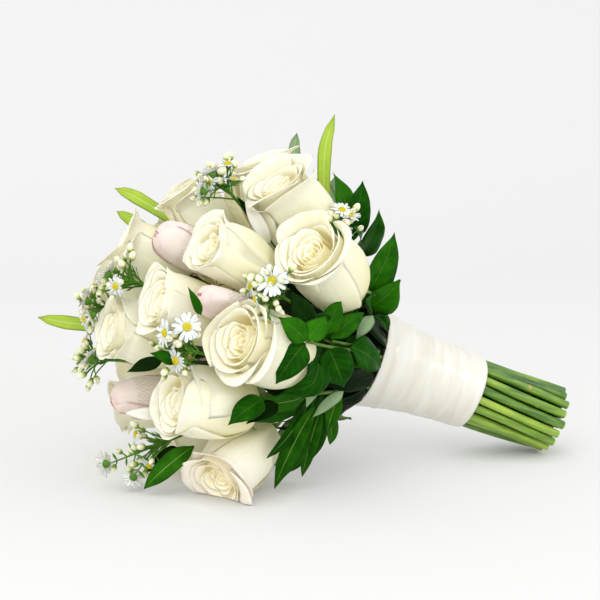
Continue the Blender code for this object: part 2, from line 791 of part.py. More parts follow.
def main():
    clear_scene()
    white = material("rose_petal", (0.86, 0.82, 0.66), 0.55)
    blush = material("blush_petal", (0.85, 0.70, 0.66), 0.6)
    green = material("stem_green", (0.22, 0.36, 0.06), 0.5)
    aster_look = material("aster_white", (0.85, 0.87, 0.80), 0.6)
    leaf_look = material("glossy_leaf", (0.03, 0.16, 0.01), 0.3)
    grass_look = material("grass_green", (0.45, 0.62, 0.08), 0.45)
    satin = material("satin", (0.88, 0.85, 0.78), 0.35)
    tape = material("floral_tape", (0.16, 0.28, 0.08), 0.6)

    roses = [flower(f"rose_{k + 1:02d}", *row) for k, row in enumerate(ROSES)]
    buds = [flower(f"blush_bud_{k + 1}", *row) for k, row in enumerate(BUDS)]
    sprays = [flower(f"aster_spray_{k + 1:02d}", *row[:4], 2 * STALK_ROOM, 62, 0) for k, row in enumerate(SPRAYS)]
    blades = [grass_line(f"grass_blade_{k + 1}", *row) for k, row in enumerate(GRASS)]
    blooms = roses + buds
    find_walls(blooms + sprays + blades)

    for number, one in enumerate(roses):
        layers = ROSE_LAYERS if number < SHOWN_ROSES else BACK_LAYERS
        cut_flat(joined(one.name, bloom(one, ROSE_CORE, layers), white))
    for one in buds:
        cut_flat(joined(one.name, bloom(one, BUD_CORE, BUD_LAYERS), blush))
    pairs = dealt(blooms + sprays)
    make_stems(pairs, green)
    for number, (one, row) in enumerate(zip(sprays, SPRAYS)):
        draw = random.Random(SEED + number)
        joined(one.name, spray(one, row[4], row[5], blooms, draw), aster_look)
    for number, clock in enumerate(SPRIG_CLOCKS):
        shape = number % len(SPRIG_SHAPES)
        side = 1 if number < len(SPRIG_SHAPES) else -1
        joined(f"leaf_sprig_{number + 1:02d}", sprig(shape, clock, side, blooms), leaf_look)
    paths = [stem_path(one, slot) for one, slot in pairs]
    for one, row in zip(blades, GRASS):
        foot = seated(one.at(0), one.at(0.35), paths)
        joined(one.name, grass(one, in_handle(*row[1]), row[2], foot), grass_look)
    make_tape(tape)
    make_wrap(satin)


main()
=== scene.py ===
"""A hand-tied rose bouquet, dressed over its solids.

Lengths are in millimetres and angles in degrees until a mesh is written, in metres. The layout
numbers are the ones that the solids were made from, so each petal and leaf lies over its solid.
"""

import math
import random
from dataclasses import dataclass, field

import bpy
import numpy as np
from bpy.props import BoolProperty, FloatProperty, FloatVectorProperty, IntProperty, PointerProperty
from mathutils import Matrix


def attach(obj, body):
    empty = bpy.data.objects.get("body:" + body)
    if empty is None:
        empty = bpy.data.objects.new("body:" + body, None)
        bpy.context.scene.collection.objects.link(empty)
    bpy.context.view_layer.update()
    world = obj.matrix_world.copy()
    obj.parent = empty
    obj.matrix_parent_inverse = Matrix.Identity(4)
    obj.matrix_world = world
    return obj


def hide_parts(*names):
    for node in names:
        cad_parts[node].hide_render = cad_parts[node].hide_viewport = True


bl_info = {
    "name": "Rose Bouquet",
    "version": (1, 0, 0),
    "blender": (4, 5, 0),
    "location": "3D View > Sidebar > Bouquet",
    "description": "Builds the petals, leaves, asters, stems and satin of a hand-tied bouquet",
    "category": "Object",
}

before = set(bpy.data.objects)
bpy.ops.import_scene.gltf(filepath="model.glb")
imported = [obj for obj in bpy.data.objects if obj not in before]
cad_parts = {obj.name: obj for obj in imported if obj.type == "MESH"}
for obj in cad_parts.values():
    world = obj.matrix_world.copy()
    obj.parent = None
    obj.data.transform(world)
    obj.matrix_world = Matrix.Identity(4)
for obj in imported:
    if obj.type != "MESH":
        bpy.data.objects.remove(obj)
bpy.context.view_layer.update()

METRE = 1000.0  # in millimetres
GOLDEN = 137.5  # degrees from each petal, floret or branch to the next, as plants grow them
ROUND = 6.28  # a full turn in radians, as the random draws use it
# Seeds of the random draws. Each rose, bud, sprig and blade adds its number to the seed of its kind
SEED = 11
COLLAR_SEED, FRONT_SEED, LONE_SEED, ASTER_SEED = 13, 14, 15, 51
ROSE_SEED, BUD_SEED, SPRIG_SEED, GRASS_SEED = 100, 300, 500, 700

# The head of the bouquet, a dome over the handle's axis
TILT = 20.5  # how far the stems slope down to their cut ends
HEAD_CENTRE = np.array([-60.5, 4.5, 109.0])
HEAD_DEPTH = 95.0
HEAD_RADIUS = 108.0
HANDLE_RISE = 5.15  # from the head's centre up to the handle's axis
LOW = 8.0  # a flower whose rim would come lower than this rests on the surface
PRESSED_BY = 11.0  # and its rim is pressed so far into it

# The handle, in distances along its axis from the head's centre
COLLAR_AT = 103.0
TIE_FROM, TIE_TO = 158.0, 172.0
WRAP_END_AT = 188.0
STEMS_END_AT = 257.0
WRAP_WALL = 1.2  # the satin's thickness, and its outer radius along the handle
WRAP_OUTSIDE = ((COLLAR_AT, 37.4), (112, 35.4), (126, 32.6), (144, 30.4), (166, 29.0), (WRAP_END_AT, 28.0))

STEM_RADIUS = 3.5
STEM_PITCH = 7.45
STEM_RINGS = (1, 6, 12, 18)  # stems in each ring of the bundle, from its middle outwards
SECTORS = 6  # solids that the bundle is made of
END_TWIST = 20.0  # turn of the cut ends about the handle
COLLAR_SPREAD = 1.25  # how much wider the bundle is at the collar than at the tie
STEM_STEP = 360 / STEM_RINGS[-1]
GAP = 0.3

# Roses: polar angle from the top of the head, clock angle from straight up towards the viewer,
# how far the face stands out, how far behind the centre the stem aims, width, length, turn
ROSES = (
    (79, 91, 0, 180, 60, 60, 35),
    (96, 51, 0, 150, 58, 58, 0),
    (83, 20, 0, 130, 54, 60, 60),
    (60, 58, 0, 230, 49, 58, 100),
    (46, 87, 0, 230, 52, 58, 10),
    (68, 125, 0, 250, 56, 62, 80),
    (93, 141, 9, 70, 50, 60, 40),
    (28, 128, 0, 170, 48, 56, 120),
    (22, 322, -3, 60, 46, 55, 15),
    (51, 346, -5, 45, 46, 55, 70),
    (82, 352, 5, 60, 48, 55, 25),
    (64, 203, 3, 80, 46, 55, 95),
    (42, 268, 5, 80, 50, 55, 50),
    (88, 180, 0, 110, 44, 48, 5),
    (92, 214, 2, 80, 50, 56, 65),
    (90, 250, 0, 90, 52, 56, 110),
    (92, 284, 0, 90, 50, 56, 30),
    (90, 318, 0, 80, 48, 56, 85),
    (62, 234, 0, 90, 46, 56, 20),
    (62, 272, 0, 90, 48, 56, 55),
    (62, 309, 0, 80, 50, 56, 90),
)
SHOWN_ROSES = 13
BLUSHED_ROSE = 6  # the seventh rose has a flush of pink on its outer petals
HALF_OPEN_ROSES = (5, 7, 11)  # roses whose outer petals hardly roll back yet
BUDS = (
    (34, 40, 0, 260, 30, 58, 0),
    (60, 80, 0, 260, 25, 56, 40),
    (50, 172, 3, 110, 26, 58, 80),
    (40, 222, 0, 100, 27, 56, 20),
    (78, 232, 0, 90, 25, 56, 15),
    (76, 293, 0, 90, 26, 56, 100),
)
# Sprays of small asters: polar, clock, how far proud, aim, asters, buds
SPRAYS = (
    (63, 18, 0, 120, 3, 4),
    (85, 71, 0, 170, 1, 6),
    (62, 103, 0, 220, 2, 4),
    (108, 34, 0, 120, 1, 5),
    (24, 80, 0, 200, 1, 4),
    (13, 190, 0, 150, 3, 3),
    (36, 190, 2, 120, 1, 5),
    (73, 161, 2, 100, 2, 4),
    (52, 250, 0, 100, 2, 2),
    (76, 265, 0, 90, 2, 2),
)
# Grass blades, in distances down the handle, out of its axis and clock angles: exit, tip,
# width, and how far down the handle the line aims
GRASS = (
    ((35, 95, 356), (24, 155, 355), 10, 110),
    ((17, 108, 343), (9, 139, 344), 9, 90),
    ((-59, 70, 312), (-96, 90, 305), 10, 60),
    ((-64, 56, 304), (-92, 68, 303), 9, 60),
    ((-78, 46, 208), (-122, 67, 220), 10, 60),
)
# Leafy sprigs in the same terms: the stalk's end, then each leaf's tip, width and share of stalk
SPRIG_SHAPES = (
    (
        (50, 80, 20),
        ((30, 116, 6, 20, 0.8), (47, 120, 14, 22, 1.0), (60, 112, 24, 21, 0.5), (42, 106, 36, 17, 0.65)),
    ),
    (
        (68, 66, 50),
        ((73, 106, 28, 24, 1.0), (86, 88, 42, 25, 0.6), (60, 94, 60, 18, 0.8), (90, 70, 64, 16, 0.3)),
    ),
    (
        (40, 82, 86),
        (
            (22, 101, 80, 20, 1.0),
            (36, 100, 74, 20, 0.92),
            (19, 101, 106, 23, 0.84),
            (66, 88, 102, 22, 0.55),
            (84, 78, 90, 22, 0.3),
            (54, 88, 68, 16, 0.7),
        ),
    ),
    (
        (47, 80, 114),
        (
            (51, 118, 140, 13, 0.7),
            (14, 102, 124, 14, 0.9),
            (34, 114, 134, 12, 0.8),
            (4, 106, 116, 14, 1.0),
            (66, 104, 136, 13, 0.5),
        ),
    ),
    (
        (74, 62, 136),
        ((68, 88, 150, 14, 1.0), (84, 78, 140, 12, 0.7), (58, 104, 156, 13, 1.0), (88, 68, 122, 14, 0.4)),
    ),
)
SPRIG_CLOCKS = (20, 53, 84, 113, 138, 335, 301, 267, 232, 197)
NARROW_SHAPES = (3, 4)
# The points of a leaf's spine along it, and the leaf's share of its full width there
LEAF_SHARES = (0.0, 0.28, 0.66, 1.0)
LEAF_WIDTHS = (0.06, 0.95, 0.80, 0.0)
LEAF_OFF_FLOOR = 2.0
STALK_RADIUS = 1.4
STALK_ROOM = 2.4  # the radius that a spray's stalk or a blade keeps between the blooms
SPRAY_LENGTH = 62
BLADE_FOOT = 40  # the length of a blade inside the head
SLIM = 5.0  # a thinner flower is a spray, on a thinner stem
CALYX_HEIGHT = 7.0
ASTER_RADIUS = 8.5
BUD_RADIUS = 2.6

# Directions and places


def unit(vector):
    """The vector's direction, of length 1."""
    return vector / np.linalg.norm(vector)


def turned(degrees):
    """Cosine and sine of an angle in degrees."""
    return math.cos(math.radians(degrees)), math.sin(math.radians(degrees))


def round_from(sides, degrees):
    """The direction at an angle from the first of two directions towards the second."""
    cosine, sine = turned(degrees)
    return cosine * sides[0] + sine * sides[1]


TILT_COS, TILT_SIN = turned(TILT)
FORE = np.array([-TILT_COS, 0.0, TILT_SIN])  # along the stems, from cut end to bloom
OVER = np.array([TILT_SIN, 0.0, TILT_COS])  # square to the stems, upwards
NEAR = np.array([0.0, -1.0, 0.0])  # towards the viewer
VIEW = np.array([-0.24, -0.96, 0.16])
HANDLE_START = HEAD_CENTRE + HANDLE_RISE * OVER


def spoke(clock):
    """The direction square to the stems at a clock angle."""
    return round_from((OVER, NEAR), clock)


def on_head(polar, clock):
    """A point of the dome that the flowers' faces lie on."""
    along, across = turned(polar)
    reach = 1 / math.hypot(along / HEAD_DEPTH, across / HEAD_RADIUS)
    return HEAD_CENTRE + reach * (along * FORE + across * spoke(clock))


def in_handle(distance, radius, clock):
    """A point at a distance down the handle, and a radius and clock angle about its axis."""
    return HANDLE_START - distance * FORE + radius * spoke(clock)


def wrap_inside(at):
    """The satin's inner radius at a distance down the handle."""
    return float(np.interp(at, *zip(*WRAP_OUTSIDE))) - WRAP_WALL


@dataclass
class Flower:
    """A bloom, spray or blade: the middle of its face, the way it looks, its size and its cell."""

    name: str
    face: np.ndarray
    way: np.ndarray
    radius: float
    length: float
    turn: float = 0.0
    walls: list = field(default_factory=list)

    def at(self, share):
        """The point of the axis at a share of the length, from the foot to the face."""
        return self.face - (1 - share) * self.length * self.way

    def sides(self):
        """Two directions square to the flower's axis, the first turned about it."""
        first = unit(np.cross(self.way, NEAR + 0.3 * OVER))
        second = np.cross(self.way, first)
        return round_from((first, second), self.turn), round_from((second, -first), self.turn)


def flower(name, polar, clock, proud, aim, width, length, turn):
    """A flower on the dome, moved up or down to rest on the surface below where it comes near it."""
    face = on_head(polar, clock)
    face += proud * unit(face - HEAD_CENTRE)
    way = unit(face - (HEAD_CENTRE - aim * FORE))
    lowest = face[2] - width / 2 * math.hypot(way[0], way[1])
    if lowest < LOW:
        face[2] -= lowest + PRESSED_BY
    return Flower(name, face, way, width / 2, length, turn)


def grass_line(name, exit_at, aim):
    """The straight lower part of a grass blade, out between the blooms."""
    face = in_handle(*exit_at)
    return Flower(name, face, unit(face - (HANDLE_START - aim * FORE)), STALK_ROOM, BLADE_FOOT)


# Each flower keeps to its own side of a plane between it and each neighbour. A wall is the plane's
# normal and distance, and the share of the room before it at which petals start to give way
WIDEST_AT = 0.6
SOFT_FROM = 0.72
SKIN = 0.8
LEAST_ROOM = 1.5
MEETING = 1.3  # flowers further apart than this share of their radii together don't meet
FLOOR = (np.array([0.0, 0.0, -1.0]), -0.4, 0.93)


def find_walls(flowers):
    """Give each flower the walls of its cell: the surface below and one towards each neighbour."""
    for one in flowers:
        one.walls = [FLOOR]
        for other in flowers:
            if other is one:
                continue
            reach = other.at(WIDEST_AT) - one.at(WIDEST_AT)
            if np.linalg.norm(reach) > MEETING * (one.radius + other.radius):
                continue
            between = unit(one.way + other.way)
            normal = unit(reach - between * (reach @ between))
            share = one.radius / (one.radius + other.radius)
            meeting = one.at(WIDEST_AT) + share * reach
            one.walls.append((normal, meeting @ normal - SKIN, SOFT_FROM))


def squeezed(points, one):
    """Points of a flower pressed softly into its cell, towards its own axis."""
    shape = points.shape
    points = points.reshape(-1, 3)
    base = one.at(0)
    for _ in range(2):
        for normal, limit, soft_from in one.walls:
            axis = base + ((points - base) @ one.way)[:, None] * one.way
            room = np.maximum(limit - axis @ normal, LEAST_ROOM)
            share = ((points - axis) @ normal) / room
            over = np.maximum(share - soft_from, 0) / (1 - soft_from)
            eased = soft_from + (1 - soft_from) * (1 - np.exp(-over))
            move = np.where(share > soft_from, eased - share, 0) * room
            points = points + move[:, None] * normal
    return points.reshape(shape)


# The outline of a bloom: shares of its length, and of its radius there
OUTLINE_HEIGHTS = (-0.08, 0.0, 0.12, 0.3, 0.6, 0.88, 1.0, 1.08)
OUTLINE_RADII = (0.0, 0.30, 0.72, 0.92, 1.00, 1.04, 0.75, 0.0)


def pushed_clear(point, clearance, blooms):
    """A point moved out of every bloom's outline."""
    for _ in range(3):
        for one in blooms:
            height = (point - one.at(0)) @ one.way / one.length
            radius = np.interp(height, OUTLINE_HEIGHTS, OUTLINE_RADII) * one.radius
            if radius == 0:
                continue
            axis = one.at(height)
            off = point - axis
            distance = max(np.linalg.norm(off), 1e-6)
            if distance < radius + clearance:
                point = axis + off * (radius + clearance) / distance
    return point


@dataclass
class Bouquet:
    """All that stands in the bunch, kind by kind."""

    roses: list
    buds: list
    sprays: list
    blades: list

    @property
    def blooms(self):
        """What leaves and sprays keep clear of."""
        return self.roses + self.buds


def laid_out():
    """Every flower, spray and blade of grass in its place, with its cell."""
    roses = [flower(f"rose_{k + 1:02d}", *row) for k, row in enumerate(ROSES)]
    buds = [flower(f"blush_bud_{k + 1}", *row) for k, row in enumerate(BUDS)]
    sprays = [
        flower(f"aster_spray_{k + 1:02d}", *row[:4], 2 * STALK_ROOM, SPRAY_LENGTH, 0)
        for k, row in enumerate(SPRAYS)
    ]
    blades = [grass_line(f"grass_blade_{k + 1}", row[0], row[-1]) for k, row in enumerate(GRASS)]
    find_walls(roses + buds + sprays + blades)
    return Bouquet(roses, buds, sprays, blades)


# Meshes

# Along and across a petal or leaf, its own shade, and 1 on its underside
VALUES = ("along", "across", "tone", "under")


class Shape:
    """Points and faces that grow into one mesh, with values that the materials read."""

    def __init__(self):
        self.points = []
        self.faces = []
        self.looks = []
        self.values = {name: [] for name in VALUES}
        self.count = 0

    def add(self, solid, look=0, **values):
        """Take in a solid, which is (points, faces), with its look and its values."""
        points, faces = solid
        points = np.asarray(points, float).reshape(-1, 3)
        self.points.append(points)
        self.faces += [[index + self.count for index in face] for face in faces]
        self.looks += [look] * len(faces)
        for name in VALUES:
            self.values[name].append(np.broadcast_to(values.get(name, 0.0), len(points)))
        self.count += len(points)

    def mesh(self, name):
        """The finished mesh, in metres."""
        mesh = bpy.data.meshes.new(name)
        points = np.concatenate(self.points) / METRE
        mesh.from_pydata(points.tolist(), [], self.faces)
        for value in VALUES:
            made = mesh.attributes.new(value, "FLOAT", "POINT")
            made.data.foreach_set("value", np.concatenate(self.values[value]).astype(np.float32))
        mesh.polygons.foreach_set("material_index", self.looks)
        mesh.polygons.foreach_set("use_smooth", [True] * len(mesh.polygons))
        mesh.update()
        return mesh


def link(name, data):
    """A new object of the scene with its data."""
    made = bpy.data.objects.new(name, data)
    bpy.context.scene.collection.objects.link(made)
    return made


def piece(name, form, looks, nodes=()):
    """A finished piece that rides on the bouquet and stands for its solids, from a shape or a mesh."""
    mesh = form.mesh(name) if isinstance(form, Shape) else form
    made = link(name, mesh)
    if not mesh.materials:
        for look in looks:
            mesh.materials.append(look)
    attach(made, "root")
    if nodes:
        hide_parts(*nodes)
    return made


def shell(grid, thickness):
    """A closed thin blade round a grid of points, which narrows to its rim."""
    rows, columns = grid.shape[:2]
    normal = np.cross(np.gradient(grid, axis=0), np.gradient(grid, axis=1))
    normal /= np.linalg.norm(normal, axis=2, keepdims=True) + 1e-9
    inside = np.zeros((rows, columns, 1))
    inside[1:-1, 1:-1] = thickness / 2
    lift = inside * normal
    points = np.concatenate([grid + lift, grid - lift]).reshape(-1, 3)
    index = np.arange(rows * columns).reshape(rows, columns)
    rim = np.ones((rows, columns), bool)
    rim[1:-1, 1:-1] = False
    twin = np.where(rim, index, index + rows * columns)
    faces = []
    for i in range(rows - 1):
        for j in range(columns - 1):
            faces.append((index[i, j], index[i + 1, j], index[i + 1, j + 1], index[i, j + 1]))
            faces.append((twin[i, j], twin[i, j + 1], twin[i + 1, j + 1], twin[i + 1, j]))
    return points, faces


def add_blade(shape, grid, thickness, look, share, side, tone):
    """Add a thin blade round a grid, with its share along and across, its shade and its underside."""
    along, across = (np.tile(values.reshape(-1), 2) for values in np.broadcast_arrays(share, side))
    under = np.repeat((0.0, 1.0), grid.size // 3)
    shape.add(shell(grid, thickness), look, along=along, across=across, tone=tone, under=under)


def ring(centre, directions, radius, sides):
    """Points of a circle round a centre."""
    return [centre + radius * round_from(directions, 360 * k / sides) for k in range(sides)]


def between_rings(start, sides):
    """Faces from the ring of points that starts at an index to the next ring."""
    pairs = [(start + k, start + (k + 1) % sides) for k in range(sides)]
    return [(a, b, b + sides, a + sides) for a, b in pairs]


def tube(path, radii, sides):
    """A closed tube along a path."""
    path = np.asarray(path)
    along = np.gradient(path, axis=0)
    side = unit(np.cross(along[0], (0.31, 0.47, 0.83)))
    points = []
    for point, way, radius in zip(path, along, radii):
        way = unit(way)
        side = unit(side - way * (side @ way))
        points += ring(point, (side, np.cross(way, side)), radius, sides)
    faces = [tuple(range(sides))[::-1], tuple(range(len(points) - sides, len(points)))]
    for i in range(len(path) - 1):
        faces += between_rings(i * sides, sides)
    return np.array(points), faces


def turned_solid(profile, origin, way, side, sides):
    """A solid of revolution whose profile runs from the axis at its foot to the axis at its top."""
    directions = side, np.cross(way, side)
    points = [origin + way * profile[0][1]]
    for radius, height in profile[1:-1]:
        points += ring(origin + way * height, directions, radius, sides)
    points.append(origin + way * profile[-1][1])
    faces = [(0, 1 + (k + 1) % sides, 1 + k) for k in range(sides)]
    for i in range(len(profile) - 3):
        faces += between_rings(1 + i * sides, sides)
    last = len(points) - 1
    faces += [(last, last - sides + k, last - sides + (k + 1) % sides) for k in range(sides)]
    return np.array(points), faces


def smooth_line(points, count):
    """Points of a Catmull-Rom curve through a few points."""
    points = [np.asarray(point, float) for point in points]
    points = [2 * points[0] - points[1]] + points + [2 * points[-1] - points[-2]]
    spans = len(points) - 3
    line = []
    for share in np.linspace(0, spans, count):
        k = min(int(share), spans - 1)
        t = share - k
        a, b, c, d = points[k : k + 4]
        line.append(
            0.5 * (2 * b + (c - a) * t + (2 * a - 5 * b + 4 * c - d) * t**2 + (3 * b - 3 * c + d - a) * t**3)
        )
    return np.array(line)


# Node trees


def linear(colour):
    """An sRGB hex colour as linear red, green, blue and alpha."""
    channels = [int(colour[k : k + 2], 16) / 255 for k in (1, 3, 5)]
    return [c / 12.92 if c <= 0.04045 else ((c + 0.055) / 1.055) ** 2.4 for c in channels] + [1.0]


def add_node(tree, kind, inputs=(), output=0, stops=(), **settings):
    """One node with its settings, the values or sockets that feed it, and a ramp's colours.

    It returns one of the node's outputs, or the node itself where that is None.
    """
    made = tree.nodes.new(kind)
    for name, value in settings.items():
        setattr(made, name, value)
    for name, value in inputs.items() if isinstance(inputs, dict) else enumerate(inputs):
        if isinstance(value, bpy.types.NodeSocket):
            tree.links.new(value, made.inputs[name])
        else:
            made.inputs[name].default_value = value
    if stops:
        elements = made.color_ramp.elements
        elements[0].position, elements[1].position = stops[0][0], stops[-1][0]
        for position, _ in stops[1:-1]:
            elements.new(position)
        for element, (_, colour) in zip(elements, stops):
            element.color = linear(colour) if isinstance(colour, str) else (colour, colour, colour, 1)
    return made if output is None else made.outputs[output]


class Look:
    """A material in the making: its shader with its own values, and the nodes that feed it."""

    def __init__(self, name, **uniform):
        self.material = bpy.data.materials.new(name)
        self.material.use_nodes = True
        self.tree = self.material.node_tree
        self.shader = self.tree.nodes["Principled BSDF"]
        self.read = {}
        for socket, value in uniform.items():
            self.shader.inputs[socket.replace("_", " ")].default_value = value

    def source(self, value):
        """A value as it is, or for a word the socket that reads it: "place" or a value of the mesh."""
        if not isinstance(value, str):
            return value
        if value not in self.read:
            if value == "place":
                made = add_node(self.tree, "ShaderNodeTexCoord", output="Object")
            else:
                made = add_node(self.tree, "ShaderNodeAttribute", output="Fac", attribute_name=value)
            self.read[value] = made
        return self.read[value]

    def add(self, kind, inputs=(), output=0, **settings):
        """A shader node, whose inputs may be words for what the mesh tells."""
        pairs = inputs.items() if isinstance(inputs, dict) else enumerate(inputs)
        inputs = {socket: self.source(value) for socket, value in pairs}
        return add_node(self.tree, "ShaderNode" + kind, inputs, output, **settings)

    def finish(self, **linked):
        """The material, with each of the shader's sockets that a pattern feeds."""
        for socket, source in linked.items():
            self.tree.links.new(source, self.shader.inputs[socket.replace("_", " ")])
        return self.material


# Materials. Noise and bump sizes are in metres, so a scale of METRE / 14 gives patches of 14 mm.
# A mix of colours has its share at socket 0, the colours at 6 and 7, and the result at output 2


def petal_look(name, inner, outer, streaks=12, painted_glows=((0.0, 0.17), (0.5, 0.12), (1.0, 0.04)), rim=None):
    """Living petal: waxy and smooth, with faint veins. Its painted glow lifts its shade, most in the heart.
    """
    look = Look(
        name,
        Roughness=0.55,
        IOR=1.38,
        Specular_IOR_Level=0.35,
        Subsurface_Weight=0.3,
        Subsurface_Radius=(1.0, 0.9, 0.75),
        Subsurface_Scale=0.0015,
    )
    add = look.add
    fan = add("CombineXYZ", ("across", "along", "tone"))
    spread = add("Mapping", {"Vector": fan, "Scale": (streaks, 1.4, 90)})
    veins = add("TexNoise", {"Vector": spread, "Scale": 1.0, "Detail": 3.0})
    young = add("ValToRGB", ("along",), stops=inner)
    old = add("ValToRGB", ("along",), stops=outer)
    colour = add("Mix", {0: "tone", 6: young, 7: old}, 2, data_type="RGBA")
    pale = add("ValToRGB", (veins,), stops=((0.25, "#fbf8ec"), (0.6, "#ffffff")))
    colour = add("Mix", {0: 1.0, 6: colour, 7: pale}, 2, data_type="RGBA", blend_type="MULTIPLY")
    if rim:
        aside = add("Math", ("across",), operation="ABSOLUTE")
        edge = add("ValToRGB", (aside,), stops=((0.85, 0.0), (1.0, 0.85)))
        colour = add("Mix", {0: edge, 6: colour, 7: linear(rim)}, 2, data_type="RGBA")
    # Painted light: the petal glows with its own colour, strongest in the heart, to lift the shade between
    # petals
    glow = add("ValToRGB", ("tone",), stops=painted_glows)
    bump = add("Bump", {"Height": veins, "Distance": 0.00002, "Strength": 1.0})
    return look.finish(Base_Color=colour, Emission_Color=colour, Emission_Strength=glow, Normal=bump)


def rose_look():
    """Cream rose petal, yellower in the heart and greener at the foot."""
    inner = ((0.0, "#dfc04c"), (0.55, "#eed986"), (0.85, "#f3ebbf"), (1.0, "#f8f5e2"))
    outer = ((0.0, "#cbd58e"), (0.20, "#e3e1b6"), (0.55, "#eae8ca"), (1.0, "#f1efde"))
    return petal_look("rose_petal_cream", inner, outer)


def blushed_look():
    """Rose petal with a breath of pink at the rims of the outer petals."""
    inner = ((0.0, "#e8d684"), (0.55, "#f3e8aa"), (1.0, "#f8f2d4"))
    outer = ((0.0, "#d3da9c"), (0.25, "#efebca"), (0.75, "#f6f2e0"), (1.0, "#f8efe4"))
    return petal_look("rose_petal_blushed", inner, outer)


def bud_look():
    """Pale pink petal of the shut buds, pinker where the petals close."""
    inner = ((0.0, "#e2d6c0"), (0.6, "#efdcd4"), (1.0, "#edcec5"))
    outer = ((0.0, "#dcdcae"), (0.25, "#e6ddd0"), (0.7, "#ece1dc"), (1.0, "#ecd6d1"))
    # The buds get a painted glow of their own colour, a little stronger in their inner petals
    return petal_look("bud_petal_blush", inner, outer, 20, ((0.0, 0.12), (1.0, 0.08)), "#e0b3ad")


def green_look(name, dark, light):
    """Young green stalk or sepal: matt, with small lighter patches."""
    look = Look(name, Roughness=0.5, IOR=1.42, Specular_IOR_Level=0.25)
    add = look.add
    patches = add("TexNoise", {"Vector": "place", "Scale": METRE / 3, "Detail": 3.0})
    half = add("Math", ("tone", 0.5), operation="MULTIPLY")
    shade = add("Math", (patches, 0.7, half), operation="MULTIPLY_ADD")
    colour = add("ValToRGB", (shade,), stops=((0.2, dark), (0.8, light)))
    grain = add("TexNoise", {"Vector": "place", "Scale": METRE / 0.7})
    bump = add("Bump", {"Height": grain, "Distance": 0.00008, "Strength": 1.0})
    return look.finish(Base_Color=colour, Normal=bump)


def stem_look():
    """Cut rose stem: a thin glossy skin with long streaks and brown scars, and a pale cut face."""
    look = Look("rose_stem", Roughness=0.36, IOR=1.45, Coat_Weight=0.25, Coat_Roughness=0.22)
    add = look.add
    inputs = {"Vector": "place", "Rotation": (0, math.radians(TILT), 0)}
    down = add("Mapping", inputs, vector_type="TEXTURE")
    long = add("Mapping", {"Vector": down, "Scale": (0.05, 1, 1)})
    streaks = add("TexNoise", {"Vector": long, "Scale": METRE / 1.6, "Detail": 4.0})
    longish = add("Mapping", {"Vector": down, "Scale": (0.25, 1, 1)})
    patches = add("TexNoise", {"Vector": longish, "Scale": METRE / 9, "Detail": 3.0})
    shade = add("Math", (patches, 0.9, "tone"), operation="MULTIPLY_ADD")
    shade = add("Math", (streaks, 0.8, shade), operation="MULTIPLY_ADD")
    shade = add("Math", (shade, 0.70), operation="SUBTRACT")
    # The darkest stop is painted shade, for the stems behind the outer ring
    stops = ((0.0, "#b0c949"), (0.35, "#82a634"), (0.7, "#4a7422"), (1.0, "#1d3d0e"))
    green = add("ValToRGB", (shade,), stops=stops)
    specks = add("TexVoronoi", {"Vector": "place", "Scale": METRE / 19})
    scars = add("ValToRGB", (specks,), stops=((0.06, 0.8), (0.12, 0.0)))
    colour = add("Mix", {0: scars, 6: green, 7: linear("#ad9a58")}, 2, data_type="RGBA")
    end = add("ValToRGB", ("along",), stops=((0.0014, 1.0), (0.0032, 0.0)))
    colour = add("Mix", {0: end, 6: colour, 7: linear("#cdd6a4")}, 2, data_type="RGBA")
    bump = add("Bump", {"Height": streaks, "Distance": 0.00012, "Strength": 1.0})
    return look.finish(Base_Color=colour, Normal=bump)


def leaf_look(name, top, vein, back, gloss, veined=0.2, narrow=False):
    """Leathery leaf: dark and waxy above with a pale midrib, matt grey-green beneath."""
    look = Look(name, IOR=1.42, Specular_IOR_Level=0.09, Specular_Tint=linear("#c8f0a0"))
    add = look.add
    aside = add("Math", ("across",), operation="ABSOLUTE")
    steps = add("Math", ("along", 9.0 if narrow else 7.0), operation="MULTIPLY")
    phase = add("Math", (aside, -1.1 if narrow else -1.7, steps), operation="MULTIPLY_ADD")
    turns = add("Math", (phase, math.tau), operation="MULTIPLY")
    wave = add("Math", (turns,), operation="SINE")
    sides = add("ValToRGB", (wave,), stops=((0.80, 0.0), (1.0, 0.0 if narrow else 0.3)))
    midrib = add("ValToRGB", (aside,), stops=((0.01, 1.0), (0.06, 0.0)))
    veins = add("Math", (sides, midrib), operation="MAXIMUM")
    blotches = add("TexNoise", {"Vector": "place", "Scale": METRE / 9, "Detail": 2.0})
    half = add("Math", ("tone", 0.45), operation="MULTIPLY")
    shade = add("Math", (blotches, 0.6, half), operation="MULTIPLY_ADD")
    upper = add("ValToRGB", (shade,), stops=top)
    share = add("Math", (veins, veined), operation="MULTIPLY")
    upper = add("Mix", {0: share, 6: upper, 7: linear(vein)}, 2, data_type="RGBA")
    rim = add("ValToRGB", (aside,), stops=((0.93, 0.0), (1.0, 0.35)))
    upper = add("Mix", {0: rim, 6: upper, 7: linear("#6f9a48")}, 2, data_type="RGBA")
    half = add("Math", (veins, 0.5), operation="MULTIPLY")
    lower = add("Mix", {0: half, 6: linear(back), 7: linear("#b5c596")}, 2, data_type="RGBA")
    colour = add("Mix", {0: "under", 6: upper, 7: lower}, 2, data_type="RGBA")
    grain = add("TexNoise", {"Vector": "place", "Scale": METRE / 2.2})
    sunk = add("Math", (veins, -0.5), operation="MULTIPLY")
    height = add("Math", (grain, 0.15, sunk), operation="MULTIPLY_ADD")
    bump = add("Bump", {"Height": height, "Distance": 0.0003, "Strength": 1.0})
    roughness = add("Math", ("under", 0.25, gloss), operation="MULTIPLY_ADD")
    return look.finish(Base_Color=colour, Roughness=roughness, Normal=bump)


